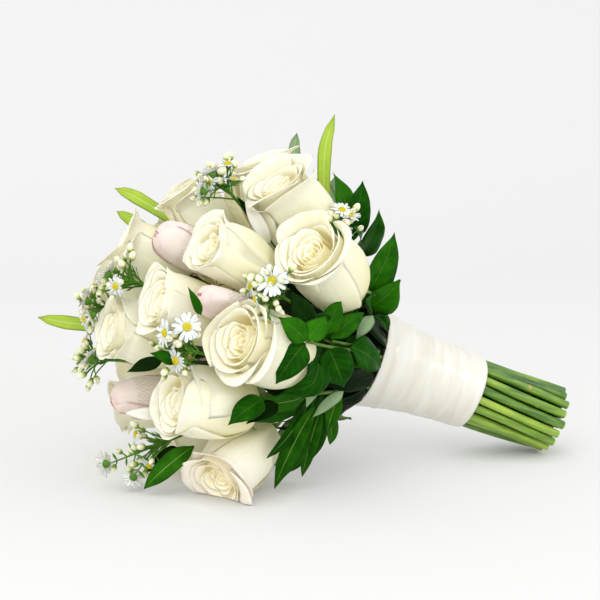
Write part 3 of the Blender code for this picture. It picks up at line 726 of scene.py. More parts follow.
def grass_look(name, dark, light):
    """Grass blade: parallel veins and a paler keel, thin enough to let light through."""
    look = Look(name, Roughness=0.42, IOR=1.45, Subsurface_Weight=0.15, Subsurface_Scale=0.001)
    add = look.add
    turns = add("Math", ("across", 38.0), operation="MULTIPLY")
    lines = add("Math", (turns,), operation="SINE")
    aside = add("Math", ("across",), operation="ABSOLUTE")
    keel = add("ValToRGB", (aside,), stops=((0.02, 0.5), (0.14, 0.0)))
    blotches = add("TexNoise", {"Vector": "place", "Scale": METRE / 8, "Detail": 3.0})
    rising = add("Math", ("along", 0.6), operation="MULTIPLY")
    shade = add("Math", (blotches, 0.5, rising), operation="MULTIPLY_ADD")
    blade = add("ValToRGB", (shade,), stops=((0.1, dark), (0.9, light)))
    colour = add("Mix", {0: keel, 6: blade, 7: linear("#e4eda6")}, 2, data_type="RGBA")
    shaded = add("ValToRGB", (lines,), stops=((0.0, 0.0), (1.0, 0.18)))
    colour = add("Mix", {0: shaded, 6: colour, 7: linear("#6f8a3a")}, 2, data_type="RGBA")
    bump = add("Bump", {"Height": lines, "Distance": 0.0001, "Strength": 1.0})
    return look.finish(Base_Color=colour, Normal=bump)


WEFT = 0.5  # real weft is about 0.1 mm across, and is drawn wider so that it shows


def satin_look():
    """Polyester satin ribbon: a broad bright sheen, fine weft across it, and folds with painted shade."""
    values = {"Roughness": 0.26, "IOR": 1.55, "Specular_IOR_Level": 1.0}
    look = Look("satin_ribbon", **values, Sheen_Weight=0.1, Sheen_Roughness=0.4)
    add = look.add
    turns = add("Math", ("along", math.tau * WRAP_LENGTH / WEFT), operation="MULTIPLY")
    weft = add("Math", (turns,), operation="SINE")
    flat = add("CombineXYZ", ("across", "along"))
    spread = add("Mapping", {"Vector": flat, "Scale": (2.2, 13, 1)})
    slubs = add("TexNoise", {"Vector": spread, "Scale": 1.0, "Detail": 2.0})
    # The colour follows the painted shade of the laps and folds: darker between them, paler on their crests
    colour = add("ValToRGB", ("tone",), stops=((0.0, "#d8d5c9"), (0.5, "#e5e2d8"), (1.0, "#edebe2")))
    streaked = add("ValToRGB", (slubs,), stops=((0.3, "#f2f0e8"), (0.7, "#ffffff")))
    colour = add("Mix", {0: 1.0, 6: colour, 7: streaked}, 2, data_type="RGBA", blend_type="MULTIPLY")
    height = add("Math", (weft, 0.06, slubs), operation="MULTIPLY_ADD")
    bump = add("Bump", {"Height": height, "Distance": 0.0001, "Strength": 1.0})
    return look.finish(Base_Color=colour, Normal=bump)


def tape_look():
    """Waxed crepe tape: matt green paper with fine ridges across its turns."""
    look = Look("floral_tape_crepe", Roughness=0.7, IOR=1.45)
    add = look.add
    long = add("Mapping", {"Vector": "place", "Scale": (3, 1, 1)})
    crepe = add("TexNoise", {"Vector": long, "Scale": METRE / 0.5, "Detail": 3.0})
    colour = add("ValToRGB", (crepe,), stops=((0.2, "#55702f"), (0.8, "#7d9a4e")))
    bump = add("Bump", {"Height": crepe, "Distance": 0.00025, "Strength": 1.0})
    return look.finish(Base_Color=colour, Normal=bump)


def ray_look():
    """Aster ray floret: thin white petal with a green-tinged base."""
    look = Look("aster_ray_white", Roughness=0.5, IOR=1.42, Subsurface_Weight=0.2, Subsurface_Scale=0.001)
    add = look.add
    turns = add("Math", ("across", 7.0), operation="MULTIPLY")
    grooves = add("Math", (turns,), operation="SINE")
    colour = add("ValToRGB", ("along",), stops=((0.0, "#d9e0b4"), (0.3, "#f6f7ee"), (1.0, "#fdfdfa")))
    bump = add("Bump", {"Height": grooves, "Distance": 0.00012, "Strength": 1.0})
    return look.finish(Base_Color=colour, Normal=bump)


def disc_look():
    """Aster disc floret: waxy yellow, greener where it is still shut."""
    look = Look("aster_disc_yellow", Roughness=0.55, IOR=1.42)
    add = look.add
    patches = add("TexNoise", {"Vector": "place", "Scale": METRE})
    half = add("Math", ("tone", 0.5), operation="MULTIPLY")
    shade = add("Math", (patches, 0.5, half), operation="MULTIPLY_ADD")
    stops = ((0.1, "#b9b01c"), (0.5, "#e2d222"), (1.0, "#f3e54e"))
    return look.finish(Base_Color=add("ValToRGB", (shade,), stops=stops))


def shut_bud_look():
    """Unopened aster bud: cream rays folded over a green cup of scales."""
    look = Look("aster_bud_cream", Roughness=0.5, IOR=1.42, Subsurface_Weight=0.1, Subsurface_Scale=0.001)
    add = look.add
    patches = add("TexNoise", {"Vector": "place", "Scale": METRE / 0.8})
    share = add("Math", (patches, 0.24, "along"), operation="MULTIPLY_ADD")
    stops = ((0.22, "#5f842c"), (0.46, "#a0b75e"), (0.60, "#e6e7b6"), (1.1, "#f6f4da"))
    colour = add("ValToRGB", (share,), stops=stops)
    turns = add("Math", ("across", 5 * math.pi), operation="MULTIPLY")
    folds = add("Math", (turns,), operation="SINE")
    bump = add("Bump", {"Height": folds, "Distance": 0.00012, "Strength": 1.0})
    return look.finish(Base_Color=colour, Normal=bump)


def hair_look():
    """Fine hair, brown at its root and paler at its tip."""
    look = Look("bud_hair", Roughness=0.6, IOR=1.5)
    stops = ((0.0, "#c2ae9d"), (1.0, "#d9cbbf"))
    return look.finish(Base_Color=look.add("ValToRGB", ("along",), stops=stops))


CONTACT_SHADE = 0.025  # metres over which the floor loses its glow beside what lies on it, as a painted contact shadow


def floor_look(settings):
    """Frosted acrylic sweep: even, matt and pale, glowing evenly but for a painted contact shadow where
    things lie.
    """
    pale = list(settings.floor_colour) + [1.0]
    look = Look(
        "studio_floor",
        Base_Color=pale,
        Roughness=0.9,
        Specular_IOR_Level=0.1,
        Emission_Strength=settings.glow,
    )
    # Painted contact shadow: the glow fades where something lies near the floor
    glow = look.add("AmbientOcclusion", {"Color": pale, "Distance": CONTACT_SHADE}, samples=8)
    return look.finish(Emission_Color=glow)


# Geometry Nodes


def start_tree(name, **inputs):
    """A Geometry Nodes tree with named inputs. It returns the tree and its input and output nodes."""
    tree = bpy.data.node_groups.new(name, "GeometryNodeTree")
    for label, kind in {"Geometry": "Geometry", **inputs, "Material": "Material"}.items():
        tree.interface.new_socket(name=label, in_out="INPUT", socket_type="NodeSocket" + kind)
    tree.interface.new_socket(name="Geometry", in_out="OUTPUT", socket_type="NodeSocketGeometry")
    source = add_node(tree, "NodeGroupInput", output=None).outputs
    return tree, source, add_node(tree, "NodeGroupOutput", output=None)


def end_tree(tree, geometry, source, output):
    """Send out the tree's geometry as real faces, smooth and with their material."""
    real = add_node(tree, "GeometryNodeRealizeInstances", (geometry,))
    smooth = add_node(tree, "GeometryNodeSetShadeSmooth", (real,))
    done = add_node(tree, "GeometryNodeSetMaterial", {"Geometry": smooth, "Material": source["Material"]})
    tree.links.new(done, output.inputs[0])
    return tree


def rods_tree():
    """Round rods that follow a mesh of lines, as thick as its points say."""
    tree, source, output = start_tree("round_rods", Sides="Int")
    curve = add_node(tree, "GeometryNodeMeshToCurve", {"Mesh": source["Geometry"]})
    ring = add_node(tree, "GeometryNodeCurvePrimitiveCircle", {"Resolution": source["Sides"], "Radius": 1.0})
    radius = add_node(tree, "GeometryNodeInputNamedAttribute", {"Name": "thickness"})
    inputs = {"Curve": curve, "Profile Curve": ring, "Scale": radius, "Fill Caps": True}
    return end_tree(tree, add_node(tree, "GeometryNodeCurveToMesh", inputs), source, output)


def scatter_tree():
    """Copies of a small template on points, each turned to its point's facing and a little uneven."""
    inputs = {"Template": "Object", "Least": "Float", "Most": "Float", "Seed": "Int"}
    tree, source, output = start_tree("scattered", **inputs)
    template = add_node(tree, "GeometryNodeObjectInfo", {"Object": source["Template"]}, "Geometry")
    facing = add_node(tree, "GeometryNodeInputNamedAttribute", {"Name": "facing"}, data_type="FLOAT_VECTOR")
    aimed = add_node(tree, "FunctionNodeAlignRotationToVector", {"Vector": facing}, axis="Z")
    # A random number's limits are its sockets 2 and 3, and the number is its output 1
    inputs = {2: 0.0, 3: ROUND, "Seed": source["Seed"]}
    spin = add_node(tree, "FunctionNodeRandomValue", inputs, 1)
    turn = add_node(tree, "FunctionNodeAxisAngleToRotation", {"Axis": (0, 0, 1), "Angle": spin})
    inputs = {"Rotation": aimed, "Rotate By": turn}
    rotation = add_node(tree, "FunctionNodeRotateRotation", inputs, rotation_space="LOCAL")
    inputs = {2: source["Least"], 3: source["Most"], "Seed": source["Seed"]}
    size = add_node(tree, "FunctionNodeRandomValue", inputs, 1)
    inputs = {"Points": source["Geometry"], "Instance": template, "Rotation": rotation, "Scale": size}
    copies = add_node(tree, "GeometryNodeInstanceOnPoints", inputs)
    number = add_node(tree, "GeometryNodeInputIndex")
    inputs = {2: 0.0, 3: 1.0, "ID": number, "Seed": source["Seed"]}
    shade = add_node(tree, "FunctionNodeRandomValue", inputs, 1)
    inputs = {"Geometry": copies, "Name": "tone", "Value": shade}
    toned = add_node(tree, "GeometryNodeStoreNamedAttribute", inputs, domain="INSTANCE")
    return end_tree(tree, toned, source, output)


def grown(name, mesh, tree, **inputs):
    """The plain mesh that a tree makes from a mesh."""
    made = link(name, mesh)
    nodes = made.modifiers.new("Nodes", "NODES")
    nodes.node_group = tree
    for item in tree.interface.items_tree:
        if item.in_out == "INPUT" and item.name in inputs:
            nodes[item.identifier] = inputs[item.name]
    graph = bpy.context.evaluated_depsgraph_get()
    result = bpy.data.meshes.new_from_object(made.evaluated_get(graph))
    result.name = name
    bpy.data.objects.remove(made)
    if not result.polygons:
        raise RuntimeError(f"{name} came out empty")
    return result


def line_mesh(name, lines):
    """A mesh of separate lines, each (points, radii, tone), with their values."""
    points, edges = [], []
    values = {"thickness": [], "along": [], "tone": []}
    for line, radii, tone in lines:
        start = len(points)
        points += [tuple(point / METRE) for point in line]
        edges += [(start + k, start + k + 1) for k in range(len(line) - 1)]
        steps = np.linalg.norm(np.diff(line, axis=0), axis=1)
        share = np.concatenate([[0], np.cumsum(steps)]) / steps.sum()
        values["thickness"] += [radius / METRE for radius in radii]
        values["along"] += list(share)
        values["tone"] += [tone] * len(line)
    mesh = bpy.data.meshes.new(name)
    mesh.from_pydata(points, edges, [])
    for value, numbers in values.items():
        mesh.attributes.new(value, "FLOAT", "POINT").data.foreach_set("value", numbers)
    return mesh


def point_mesh(name, places):
    """A mesh of loose points, each (place, facing)."""
    mesh = bpy.data.meshes.new(name)
    mesh.from_pydata([tuple(place / METRE) for place, _ in places], [], [])
    facing = np.concatenate([unit(way) for _, way in places]).astype(np.float32)
    mesh.attributes.new("facing", "FLOAT_VECTOR", "POINT").data.foreach_set("vector", facing)
    return mesh


# Stage

CAMERA_AZIMUTH, CAMERA_ELEVATION = -14.0, 9.0
CAMERA_DISTANCE = 1166.7
MM_PER_PIXEL = 0.70
PHOTO_CENTRE = (231, 319)  # the head's centre in the frame of 600 by 600, from its top left
SIDE_COS, SIDE_SIN = turned(CAMERA_AZIMUTH)
LIFT_COS, LIFT_SIN = turned(CAMERA_ELEVATION)
CAMERA_BACK = np.array([SIDE_SIN * LIFT_COS, -SIDE_COS * LIFT_COS, LIFT_SIN])
CAMERA_RIGHT = np.array([SIDE_COS, SIDE_SIN, 0.0])
CAMERA_UP = np.cross(CAMERA_BACK, CAMERA_RIGHT)


def across_view(across, down):
    """From the middle of the camera's frame to a place in it, in millimetres at the head's centre."""
    return MM_PER_PIXEL * ((across - 300) * CAMERA_RIGHT + (300 - down) * CAMERA_UP)


CAMERA_PLACE = HEAD_CENTRE - across_view(*PHOTO_CENTRE) + CAMERA_DISTANCE * CAMERA_BACK


def in_view(across, down, near):
    """The point seen at a place of the camera's frame, as near to the viewer as given."""
    sight = across_view(across, down) - CAMERA_DISTANCE * CAMERA_BACK
    return CAMERA_PLACE - sight * (near + CAMERA_PLACE[1]) / sight[1]


def stand(holder, place, right, up, back):
    """Put a camera or a light in its place, with its back to what it looks at."""
    turn = np.eye(4)
    turn[:3, :3] = np.array([right, up, back]).T
    turn[:3, 3] = place
    holder.matrix_world = Matrix(turn.tolist())


def make_camera():
    """The camera, where the photo was taken from."""
    camera = bpy.data.cameras.new("photo_camera")
    camera.lens, camera.sensor_width = 100, 36
    camera.clip_start, camera.clip_end = 0.01, 20
    holder = link("photo_camera", camera)
    stand(holder, CAMERA_PLACE / METRE, CAMERA_RIGHT, CAMERA_UP, CAMERA_BACK)
    bpy.context.scene.camera = holder


# The sweep in metres: where its bend starts and the bend's radius, its front edge, top and half width
BEND_FROM, BEND_RADIUS = 0.9, 0.7
SWEEP_FRONT, SWEEP_TOP, SWEEP_HALF = -2.5, 3.0, 3.5


def make_sweep(look):
    """A floor that curves up into a wall behind."""
    turns = [turned(angle - 90) for angle in range(0, 91, 10)]
    bend = [(BEND_FROM + BEND_RADIUS * cosine, BEND_RADIUS + BEND_RADIUS * sine) for cosine, sine in turns]
    profile = [(SWEEP_FRONT, 0.0)] + bend + [(BEND_FROM + BEND_RADIUS, SWEEP_TOP)]
    points = [(x, y, z) for x in (-SWEEP_HALF, SWEEP_HALF) for y, z in profile]
    count = len(profile)
    faces = [(k, k + count, k + count + 1, k + 1) for k in range(count - 1)]
    mesh = bpy.data.meshes.new("studio_floor")
    mesh.from_pydata(points, [], faces)
    mesh.polygons.foreach_set("use_smooth", [True] * len(faces))
    mesh.materials.append(look)
    link("studio_floor", mesh)


# Soft lights, in metres: place, what they look at, width and height, and share of the key's power
LIGHTS = (
    ("key", (-0.9, -1.1, 1.5), (-0.03, 0.0, 0.1), (1.4, 1.4), 1.0),
    ("fill", (0.2, -1.7, 0.45), (0.0, 0.0, 0.1), (1.4, 1.4), 0.28),
    ("strip", (0.82, -1.2, 0.83), (0.07, 0.0, 0.09), (0.8, 0.15), 0.24),
)


def make_lights(settings):
    """The soft lights, and the even light that comes from all round."""
    for name, place, target, (width, height), share in LIGHTS:
        light = bpy.data.lights.new(name, "AREA")
        light.shape, light.size, light.size_y = "RECTANGLE", width, height
        light.energy = settings.key_power * share
        back = unit(np.array(place) - np.array(target))
        right = unit(np.cross((0, 0, 1), back))
        stand(link(name, light), place, right, np.cross(back, right), back)
    world = bpy.data.worlds.new("studio")
    world.use_nodes = True
    ground = world.node_tree.nodes["Background"]
    ground.inputs["Color"].default_value = linear("#fdfdff")
    ground.inputs["Strength"].default_value = settings.sky
    bpy.context.scene.world = world


# Stems


def foot_clock(one):
    """The clock angle of a flower's foot about the handle's axis."""
    foot = one.at(0) - HANDLE_START
    return math.degrees(math.atan2(foot @ NEAR, foot @ OVER)) % 360


def foot_spread(one):
    """How far out in the bundle a flower's stem belongs: further for a wide and low foot."""
    foot = one.at(0) - HANDLE_START
    return math.hypot(foot @ NEAR, foot @ OVER) - 0.5 * (foot @ FORE)


def dealt(flowers):
    """Each flower with its slot in the bundle, as (radius, clock).

    The widest spread goes to the outer ring, and each ring keeps the clock order of its flowers.
    """
    inner_first = sorted(flowers, key=foot_spread)
    pairs = []
    for number, count in enumerate(STEM_RINGS):
        slots = [(number * STEM_PITCH, 360 * (k + 0.5) / count) for k in range(count)]
        members = sorted(inner_first[:count], key=foot_clock)
        inner_first = inner_first[count:]

        def misfit(shift):
            """The squared turns between the members and the slots that a shift gives them."""
            clocks = [slots[(k + shift) % count][1] for k in range(count)]
            turns = [(foot_clock(one) - clock + 180) % 360 - 180 for one, clock in zip(members, clocks)]
            return sum(turn * turn for turn in turns)

        best = min(range(count), key=misfit)
        pairs += [(one, slots[(k + best) % count]) for k, one in enumerate(members)]
    return pairs


def stem_line(one, slot):
    """From the cut end, through the tie and the collar, to a flower's foot."""
    radius, clock = slot
    end = STEMS_END_AT - 1.5 * math.sin(7 * clock + radius) ** 2
    start = in_handle(TIE_FROM - 2, radius, clock)
    collar = in_handle(COLLAR_AT + 4, radius * COLLAR_SPREAD, clock)
    top = one.at(0) - GAP * one.way
    reach = 0.4 * np.linalg.norm(top - collar)
    ahead, behind = collar + reach * unit(collar - start), top - reach * one.way
    bend = (collar + 3 * ahead + 3 * behind + top) / 8
    return [
        in_handle(end, radius, clock + END_TWIST),
        in_handle(TIE_TO + 2, radius, clock),
        start,
        collar,
        bend,
        top - CALYX_HEIGHT * one.way,
        top,
    ]


STEM_WAVES = (0.1, 0.3, 0.5, 0.7, 0.85)  # shares of a stem's bare end where it sways and swells
STEM_SWAY = 1.3
STEM_POINTS = 31
# A stem's radius just under its bloom and at it, for a slim flower and for a full one
SLIM_NECK, FULL_NECK = (1.8, 1.6), (2.8, 6.0)


def make_stems(pairs, look):
    """One stem for each flower, all joined into the bundle."""
    draw = random.Random(SEED)
    lines = []
    outermost = max(slot[0] for _, slot in pairs)
    for one, slot in pairs:
        path = stem_line(one, slot)
        thick = STEM_RADIUS * draw.uniform(0.78, 1.0)
        sway = draw.uniform(-STEM_SWAY, STEM_SWAY) * OVER + draw.uniform(-STEM_SWAY, STEM_SWAY) * NEAR
        straight = [path[0], path[0] + 0.5 * unit(path[1] - path[0])]
        for share in STEM_WAVES:
            straight.append(path[0] + (path[1] - path[0]) * share + sway * math.sin(math.pi * share))
        swell = [1 + 0.05 * draw.uniform(-1, 1) for _ in STEM_WAVES]
        rest = smooth_line(path[1:], STEM_POINTS)
        neck = SLIM_NECK if one.radius < SLIM else FULL_NECK
        radii = (thick, thick, thick, 3.0, *neck)
        radii = np.interp(np.linspace(0, 5, STEM_POINTS), range(6), radii)
        radii = [thick * 0.97, thick] + [thick * share for share in swell] + list(radii)
        # The stems behind the outer ring get the darkest green, painted shade for the gaps between the stems
        tone = draw.random()
        tone = 0.05 + 0.75 * tone if slot[0] > outermost - STEM_PITCH / 2 else 1.0 + 0.4 * tone
        lines.append((straight + list(rest), radii, tone))
    mesh = grown("rose_stems", line_mesh("rose_stems", lines), rods_tree(), Sides=14, Material=look)
    stems = [f"stems_{k + 1}" for k in range(SECTORS)]
    piece("rose_stems", mesh, [look], stems)


# The satin wrap

# Its wrinkles: how far apart, their slant, where they start and how high
FOLDS = ((6.4, 3.4, 0.0, 0.08), (11.0, -5.2, 4.1, 0.18), (19.0, 6.8, 2.2, 0.30))
LAP_PITCH = 29.0  # from the edge of one turn of ribbon to the next
LAP_HEIGHT = 0.5
SUNK = 0.9  # how far the ribbon lies inside its solid, so that folds and laps stay within it
HEM = 0.7  # how far the wrap's ends turn in, and over how many rows
HEM_ROWS = 2.2
WRAP_ROWS, WRAP_COLUMNS = 132, 168
WRAP_LENGTH = WRAP_END_AT - COLLAR_AT


def satin_outside(at, angle, settings):
    """The wrap's radius, and painted shade paler on lap edges and fold crests, at a distance down the handle
    and an angle in degrees.
    """
    turn = np.radians(angle)
    # Turns of ribbon, each a little proud of the one before, slant down the handle
    lap = (at + 3.4 * np.cos(turn - 0.6) - 1.6 * np.sin(2 * turn + 1.0) + 3 * angle / 360) / LAP_PITCH
    step = lap - np.floor(lap)
    edge = LAP_HEIGHT * (1 - np.exp(-step * 30)) * (1 - 0.9 * step)
    folds = 0
    for wave, slant, phase, height in FOLDS:
        bent = at + slant * np.sin(turn + phase) + 0.9 * np.sin(3 * turn + 2 * phase)
        fade = np.clip(0.4 + 0.9 * np.sin(2 * turn + 3.1 * phase + at / 9), 0, 1)
        folds = folds + height * fade * (1 - np.abs(np.sin(math.pi * bent / wave))) ** 1.6
    radius = np.interp(at, *zip(*WRAP_OUTSIDE)) - SUNK + edge + settings.fold_depth * METRE * folds
    # Painted shade: the colour is paler where the laps' edges and the folds' crests stand proud
    return radius, np.clip(0.45 + 0.8 * edge + 0.6 * folds, 0, 1)


def make_satin(settings, look):
    """The ribbon's outside with its laps and folds, and a plain inside, closed at both ends."""
    angle = np.linspace(0, 360, WRAP_COLUMNS, endpoint=False)[None, :]
    share = np.linspace(0, 1, WRAP_ROWS)[:, None]
    lower = WRAP_END_AT + 0.8 * np.sin(np.radians(2 * angle + 40)) - 0.8
    at = COLLAR_AT + (lower - COLLAR_AT) * share
    radius, shade = satin_outside(at, angle + 0 * at, settings)
    rounded = np.clip(np.minimum(share, 1 - share) * (WRAP_ROWS - 1) / HEM_ROWS, 0, 1)
    radius = radius - HEM * (1 - np.sqrt(1 - (1 - rounded) ** 2))
    inner_at = at[::-6]
    inner = np.interp(inner_at, *zip(*WRAP_OUTSIDE)) - WRAP_WALL - SUNK
    at = np.concatenate([at, inner_at])
    radius = np.concatenate([radius, inner])
    # The inside is painted darker, as shade
    shade = np.concatenate([shade, np.full(inner.shape, 0.3)])
    angle = np.broadcast_to(angle, at.shape)
    cosine, sine = np.cos(np.radians(angle))[..., None], np.sin(np.radians(angle))[..., None]
    points = HANDLE_START - at[..., None] * FORE + radius[..., None] * (cosine * OVER + sine * NEAR)
    index = np.arange(at.size).reshape(at.shape)
    beside, below = np.roll(index, -1, 1), np.roll(index, -1, 0)
    faces = np.stack([index, beside, np.roll(beside, -1, 0), below], -1).reshape(-1, 4).tolist()
    along, across = (at - COLLAR_AT) / WRAP_LENGTH, angle / 180 - 1
    shape = Shape()
    shape.add((points, faces), along=along.reshape(-1), across=across.reshape(-1), tone=shade.reshape(-1))
    made = piece("satin_ribbon_wrap", shape, [look], ["satin_wrap"])


# Roses and buds

PROFILE_POINTS = 49  # of a petal's line from base to fold, once it is smoothed


@dataclass
class Petal:
    """One petal's form. Its line is (radius, height) in shares of the flower, from base to fold."""

    line: tuple
    middle: float
    half: float
    roll: float  # how far the lip rolls back at its middle, in degrees
    side_roll: float  # and at its sides
    lean: float = 0.0  # the lip's first angle from the flower's axis, outwards
    lip: float = 0.18  # the share of the petal that rolls
    drop: float = 0.12
    point: float = 0.0
    tuck: float = 0.04
    ripple: float = 0.02
    bulge: float = 0.03
    twist: float = 0.0
    rows: int = 19
    columns: int = 17
    thickness: float = 0.45


def petal_grid(one, petal, draw):
    """A petal's middle surface round a flower's axis, its lip rolled back over."""
    side = np.linspace(-1, 1, petal.columns)[None, :]
    up = (1 - (1 - np.linspace(0, 1, petal.rows)) ** 1.4)[:, None]
    line = smooth_line(petal.line, PROFILE_POINTS) * (one.radius, one.length)
    steps = np.concatenate([[0], np.cumsum(np.linalg.norm(np.diff(line, axis=0), axis=1))])
    length = steps[-1] / (1 - petal.lip)
    tip = 1 - petal.drop * np.abs(side) ** 2.4 + petal.point * (1 - np.abs(side)) ** 2
    run = up * tip * length
    radius = np.interp(run, steps, line[:, 0])
    height = np.interp(run, steps, line[:, 1])
    past = np.maximum(run - steps[-1], 0)
    most = np.radians(petal.roll + (petal.side_roll - petal.roll) * np.abs(side) ** 1.6)
    curve = np.maximum(petal.lip * length, 1.0) / np.where(np.abs(most) < 0.05, 0.05, most)
    lean = math.radians(petal.lean)
    radius = np.maximum(radius + curve * (math.cos(lean) - np.cos(lean + past / curve)), 0.4)
    height = height + curve * (np.sin(lean + past / curve) - math.sin(lean))
    phase, pace = draw.uniform(0, ROUND), draw.uniform(3.0, 5.5)
    ripple = petal.ripple * np.sin(pace * side + phase) * up**3
    ripple = ripple + 0.4 * petal.ripple * np.sin(2.6 * pace * side + 2 * phase) * up**6
    bulge = petal.bulge * np.sin(2.2 * side + draw.uniform(0, ROUND)) * np.sin(math.pi * up)
    radius = radius + one.radius * (petal.tuck * side * np.minimum(1, 3 * up) + ripple + bulge)
    height = height + 0.6 * one.radius * ripple
    share = run / length
    spread = petal.half * side * (0.36 + 0.64 * np.minimum(share, 1) ** 0.7)
    turn = np.radians(petal.middle + spread + petal.twist * up)
    first, second = one.sides()
    outward = np.cos(turn)[..., None] * first + np.sin(turn)[..., None] * second
    grid = one.at(0) + height[..., None] * one.way + radius[..., None] * outward
    return squeezed(grid, one), share, side


def add_petal(shape, one, petal, tone, draw):
    """Add one of a flower's petals to its shape."""
    grid, share, side = petal_grid(one, petal, draw)
    add_blade(shape, grid, petal.thickness, 0, share, side, tone)


SEPALS = 5


def add_sepals(shape, one, draw):
    """Narrow green sepals that curl down from under a bloom."""
    sides = one.sides()
    for k in range(SEPALS):
        outward = round_from(sides, 360 * k / SEPALS + 20 * draw.random())
        foot = one.at(0) - 0.5 * one.way + 3.2 * outward
        length = draw.uniform(12, 17)
        spine = [
            foot,
            foot + 0.40 * length * outward + 0.10 * length * one.way,
            foot + 0.75 * length * outward - 0.10 * length * one.way,
            foot + 0.90 * length * outward - 0.45 * length * one.way,
        ]
        add_leaf(shape, spine, 5.0, one.way, SEPAL_WIDTHS, 1, draw, rows=7, columns=5)


def heart_petal(k, count, draw):
    """A petal of the tight spiral in the middle."""
    age = k / (count - 1)
    belly = 0.12 + 0.30 * age
    rim = 0.07 + 0.31 * age
    top = 0.84 + 0.08 * age + 0.015 * draw.uniform(-1, 1)
    return Petal(
        line=((0.08 + 0.08 * age, 0.25), (belly, 0.50), (belly, 0.70), (rim, top)),
        middle=GOLDEN * k + 10 * draw.uniform(-1, 1),
        half=92,
        roll=25 + 20 * age,
        side_roll=10 + 40 * age,
        lip=0.10,
        drop=0.10,
        tuck=0.035,
        ripple=0.014,
        bulge=0.0,
        twist=20 * (1 - age),
        rows=11,
        columns=15,
    )


def cup_petal(k, count, draw):
    """A broad petal that stands round the heart."""
    age = k / (count - 1)
    belly = 0.54 + 0.24 * age
    rim = 0.46 + 0.25 * age + 0.03 * draw.uniform(-1, 1)
    top = 0.90 + 0.02 * age + 0.02 * draw.uniform(-1, 1)
    return Petal(
        line=((0.22, 0.10), (0.9 * belly, 0.30), (belly, 0.55), (rim, top)),
        middle=GOLDEN * k + 60 + 12 * draw.uniform(-1, 1),
        half=84,
        roll=55 + 25 * age,
        side_roll=80,
        lip=0.13,
        drop=draw.uniform(0.08, 0.14),
        tuck=0.05,
        ripple=0.025,
        bulge=0.01,
    )


def guard_petal(k, count, draw):
    """A large outer petal whose lip rolls right back, often to a point."""
    age = k / (count - 1)
    belly = 0.82 + 0.13 * age
    rim = 0.70 + 0.12 * age + 0.05 * draw.uniform(-1, 1)
    top = 0.90 - 0.10 * age + 0.04 * draw.uniform(-1, 1)
    shoulder = 0.55 * belly + 0.45 * rim
    return Petal(
        line=((0.26, 0.0), (0.78 * belly, 0.13), (belly, 0.42), (shoulder, 0.70), (rim, top)),
        middle=GOLDEN * k + 25 + 14 * draw.uniform(-1, 1),
        half=76 - 8 * age,
        roll=draw.uniform(70, 120),
        side_roll=draw.uniform(110, 160),
        lip=draw.uniform(0.17, 0.24),
        drop=draw.uniform(0.10, 0.20),
        point=draw.uniform(0.0, 0.05),
        tuck=0.055,
        ripple=0.035,
        bulge=0.03,
        rows=23,
        columns=21,
    )


# The rings of petals from a rose's middle outwards, each with the first and last shade in it
PETAL_RINGS = ((heart_petal, 0.0, 0.35), (cup_petal, 0.45, 0.75), (guard_petal, 0.8, 1.0))
HIDDEN_PETALS = (5, 3, 4)  # petals in each ring of a rose on the guessed side
ROSE_CORE = ((0, 0), (0.16, 0.1), (0.09, 0.6), (0.05, 0.80), (0, 0.82))
# The guard petals of a half open rose have these shares of the roll, of the roll at their sides
# and of the lip
HALF_ROLL, HALF_SIDE_ROLL, HALF_LIP = 0.4, 0.35, 0.6


def make_rose(one, number, settings, looks):
    """An open rose: a tight heart, a cup of broad petals and guard petals with rolled lips."""
    draw = random.Random(ROSE_SEED + number)
    shape = Shape()
    core = [(radius * one.radius, height * one.length) for radius, height in ROSE_CORE]
    shape.add(turned_solid(core, one.at(0), one.way, one.sides()[0], 10), along=0.6, tone=0.0)
    counts = (settings.heart_petals, settings.cup_petals, settings.guard_petals)
    if number >= SHOWN_ROSES:
        counts = HIDDEN_PETALS
    for (form, low, high), count in zip(PETAL_RINGS, counts):
        for k in range(count):
            tone = low + (high - low) * k / (count - 1)
            petal = form(k, count, draw)
            if form is guard_petal and number in HALF_OPEN_ROSES:
                petal.roll *= HALF_ROLL
                petal.side_roll *= HALF_SIDE_ROLL
                petal.lip *= HALF_LIP
            add_petal(shape, one, petal, tone, draw)
    add_sepals(shape, one, draw)
    piece(f"{one.name}_petals", shape, looks, [one.name])


# A bud's petals from base to fold: the outermost and the innermost
BUD_LINES = (
    ((0.20, 0.02), (0.66, 0.08), (0.95, 0.34), (0.96, 0.62), (0.76, 0.83)),
    ((0.16, 0.02), (0.56, 0.10), (0.84, 0.36), (0.84, 0.64), (0.62, 0.85)),
)
# The hairs cover this span of a bud's length, with so many to a row, and start clear of its petals
HAIRS_FROM, HAIRS_SPAN = 0.14, 0.50
HAIRS_ROUND = 30
HAIR_RISE = 0.45
ROSETTE_PETALS = 4  # in the small rosette that closes a bud


def add_hairs(hairs, one, rows, draw):
    """Rows of fine hairs round a bud's lower half, each as (place, way)."""
    sides = one.sides()
    radii, heights = (smooth_line(BUD_LINES[0], PROFILE_POINTS) * (one.radius, one.length)).T
    slopes = np.gradient(radii, heights)
    for i in range(rows):
        height = one.length * (HAIRS_FROM + HAIRS_SPAN * i / rows)
        radius, slope = np.interp(height, heights, radii), np.interp(height, heights, slopes)
        for j in range(HAIRS_ROUND):
            step = j + 0.5 * (i % 2) + 0.12 * draw.uniform(-1, 1)
            outward = round_from(sides, 360 * step / HAIRS_ROUND)
            place = squeezed(one.at(height / one.length) + (radius + HAIR_RISE) * outward, one)
            aside = 0.2 * draw.uniform(-1, 1) * np.cross(one.way, outward)
            hairs.append((place, one.way + (slope + 0.15) * outward + aside))


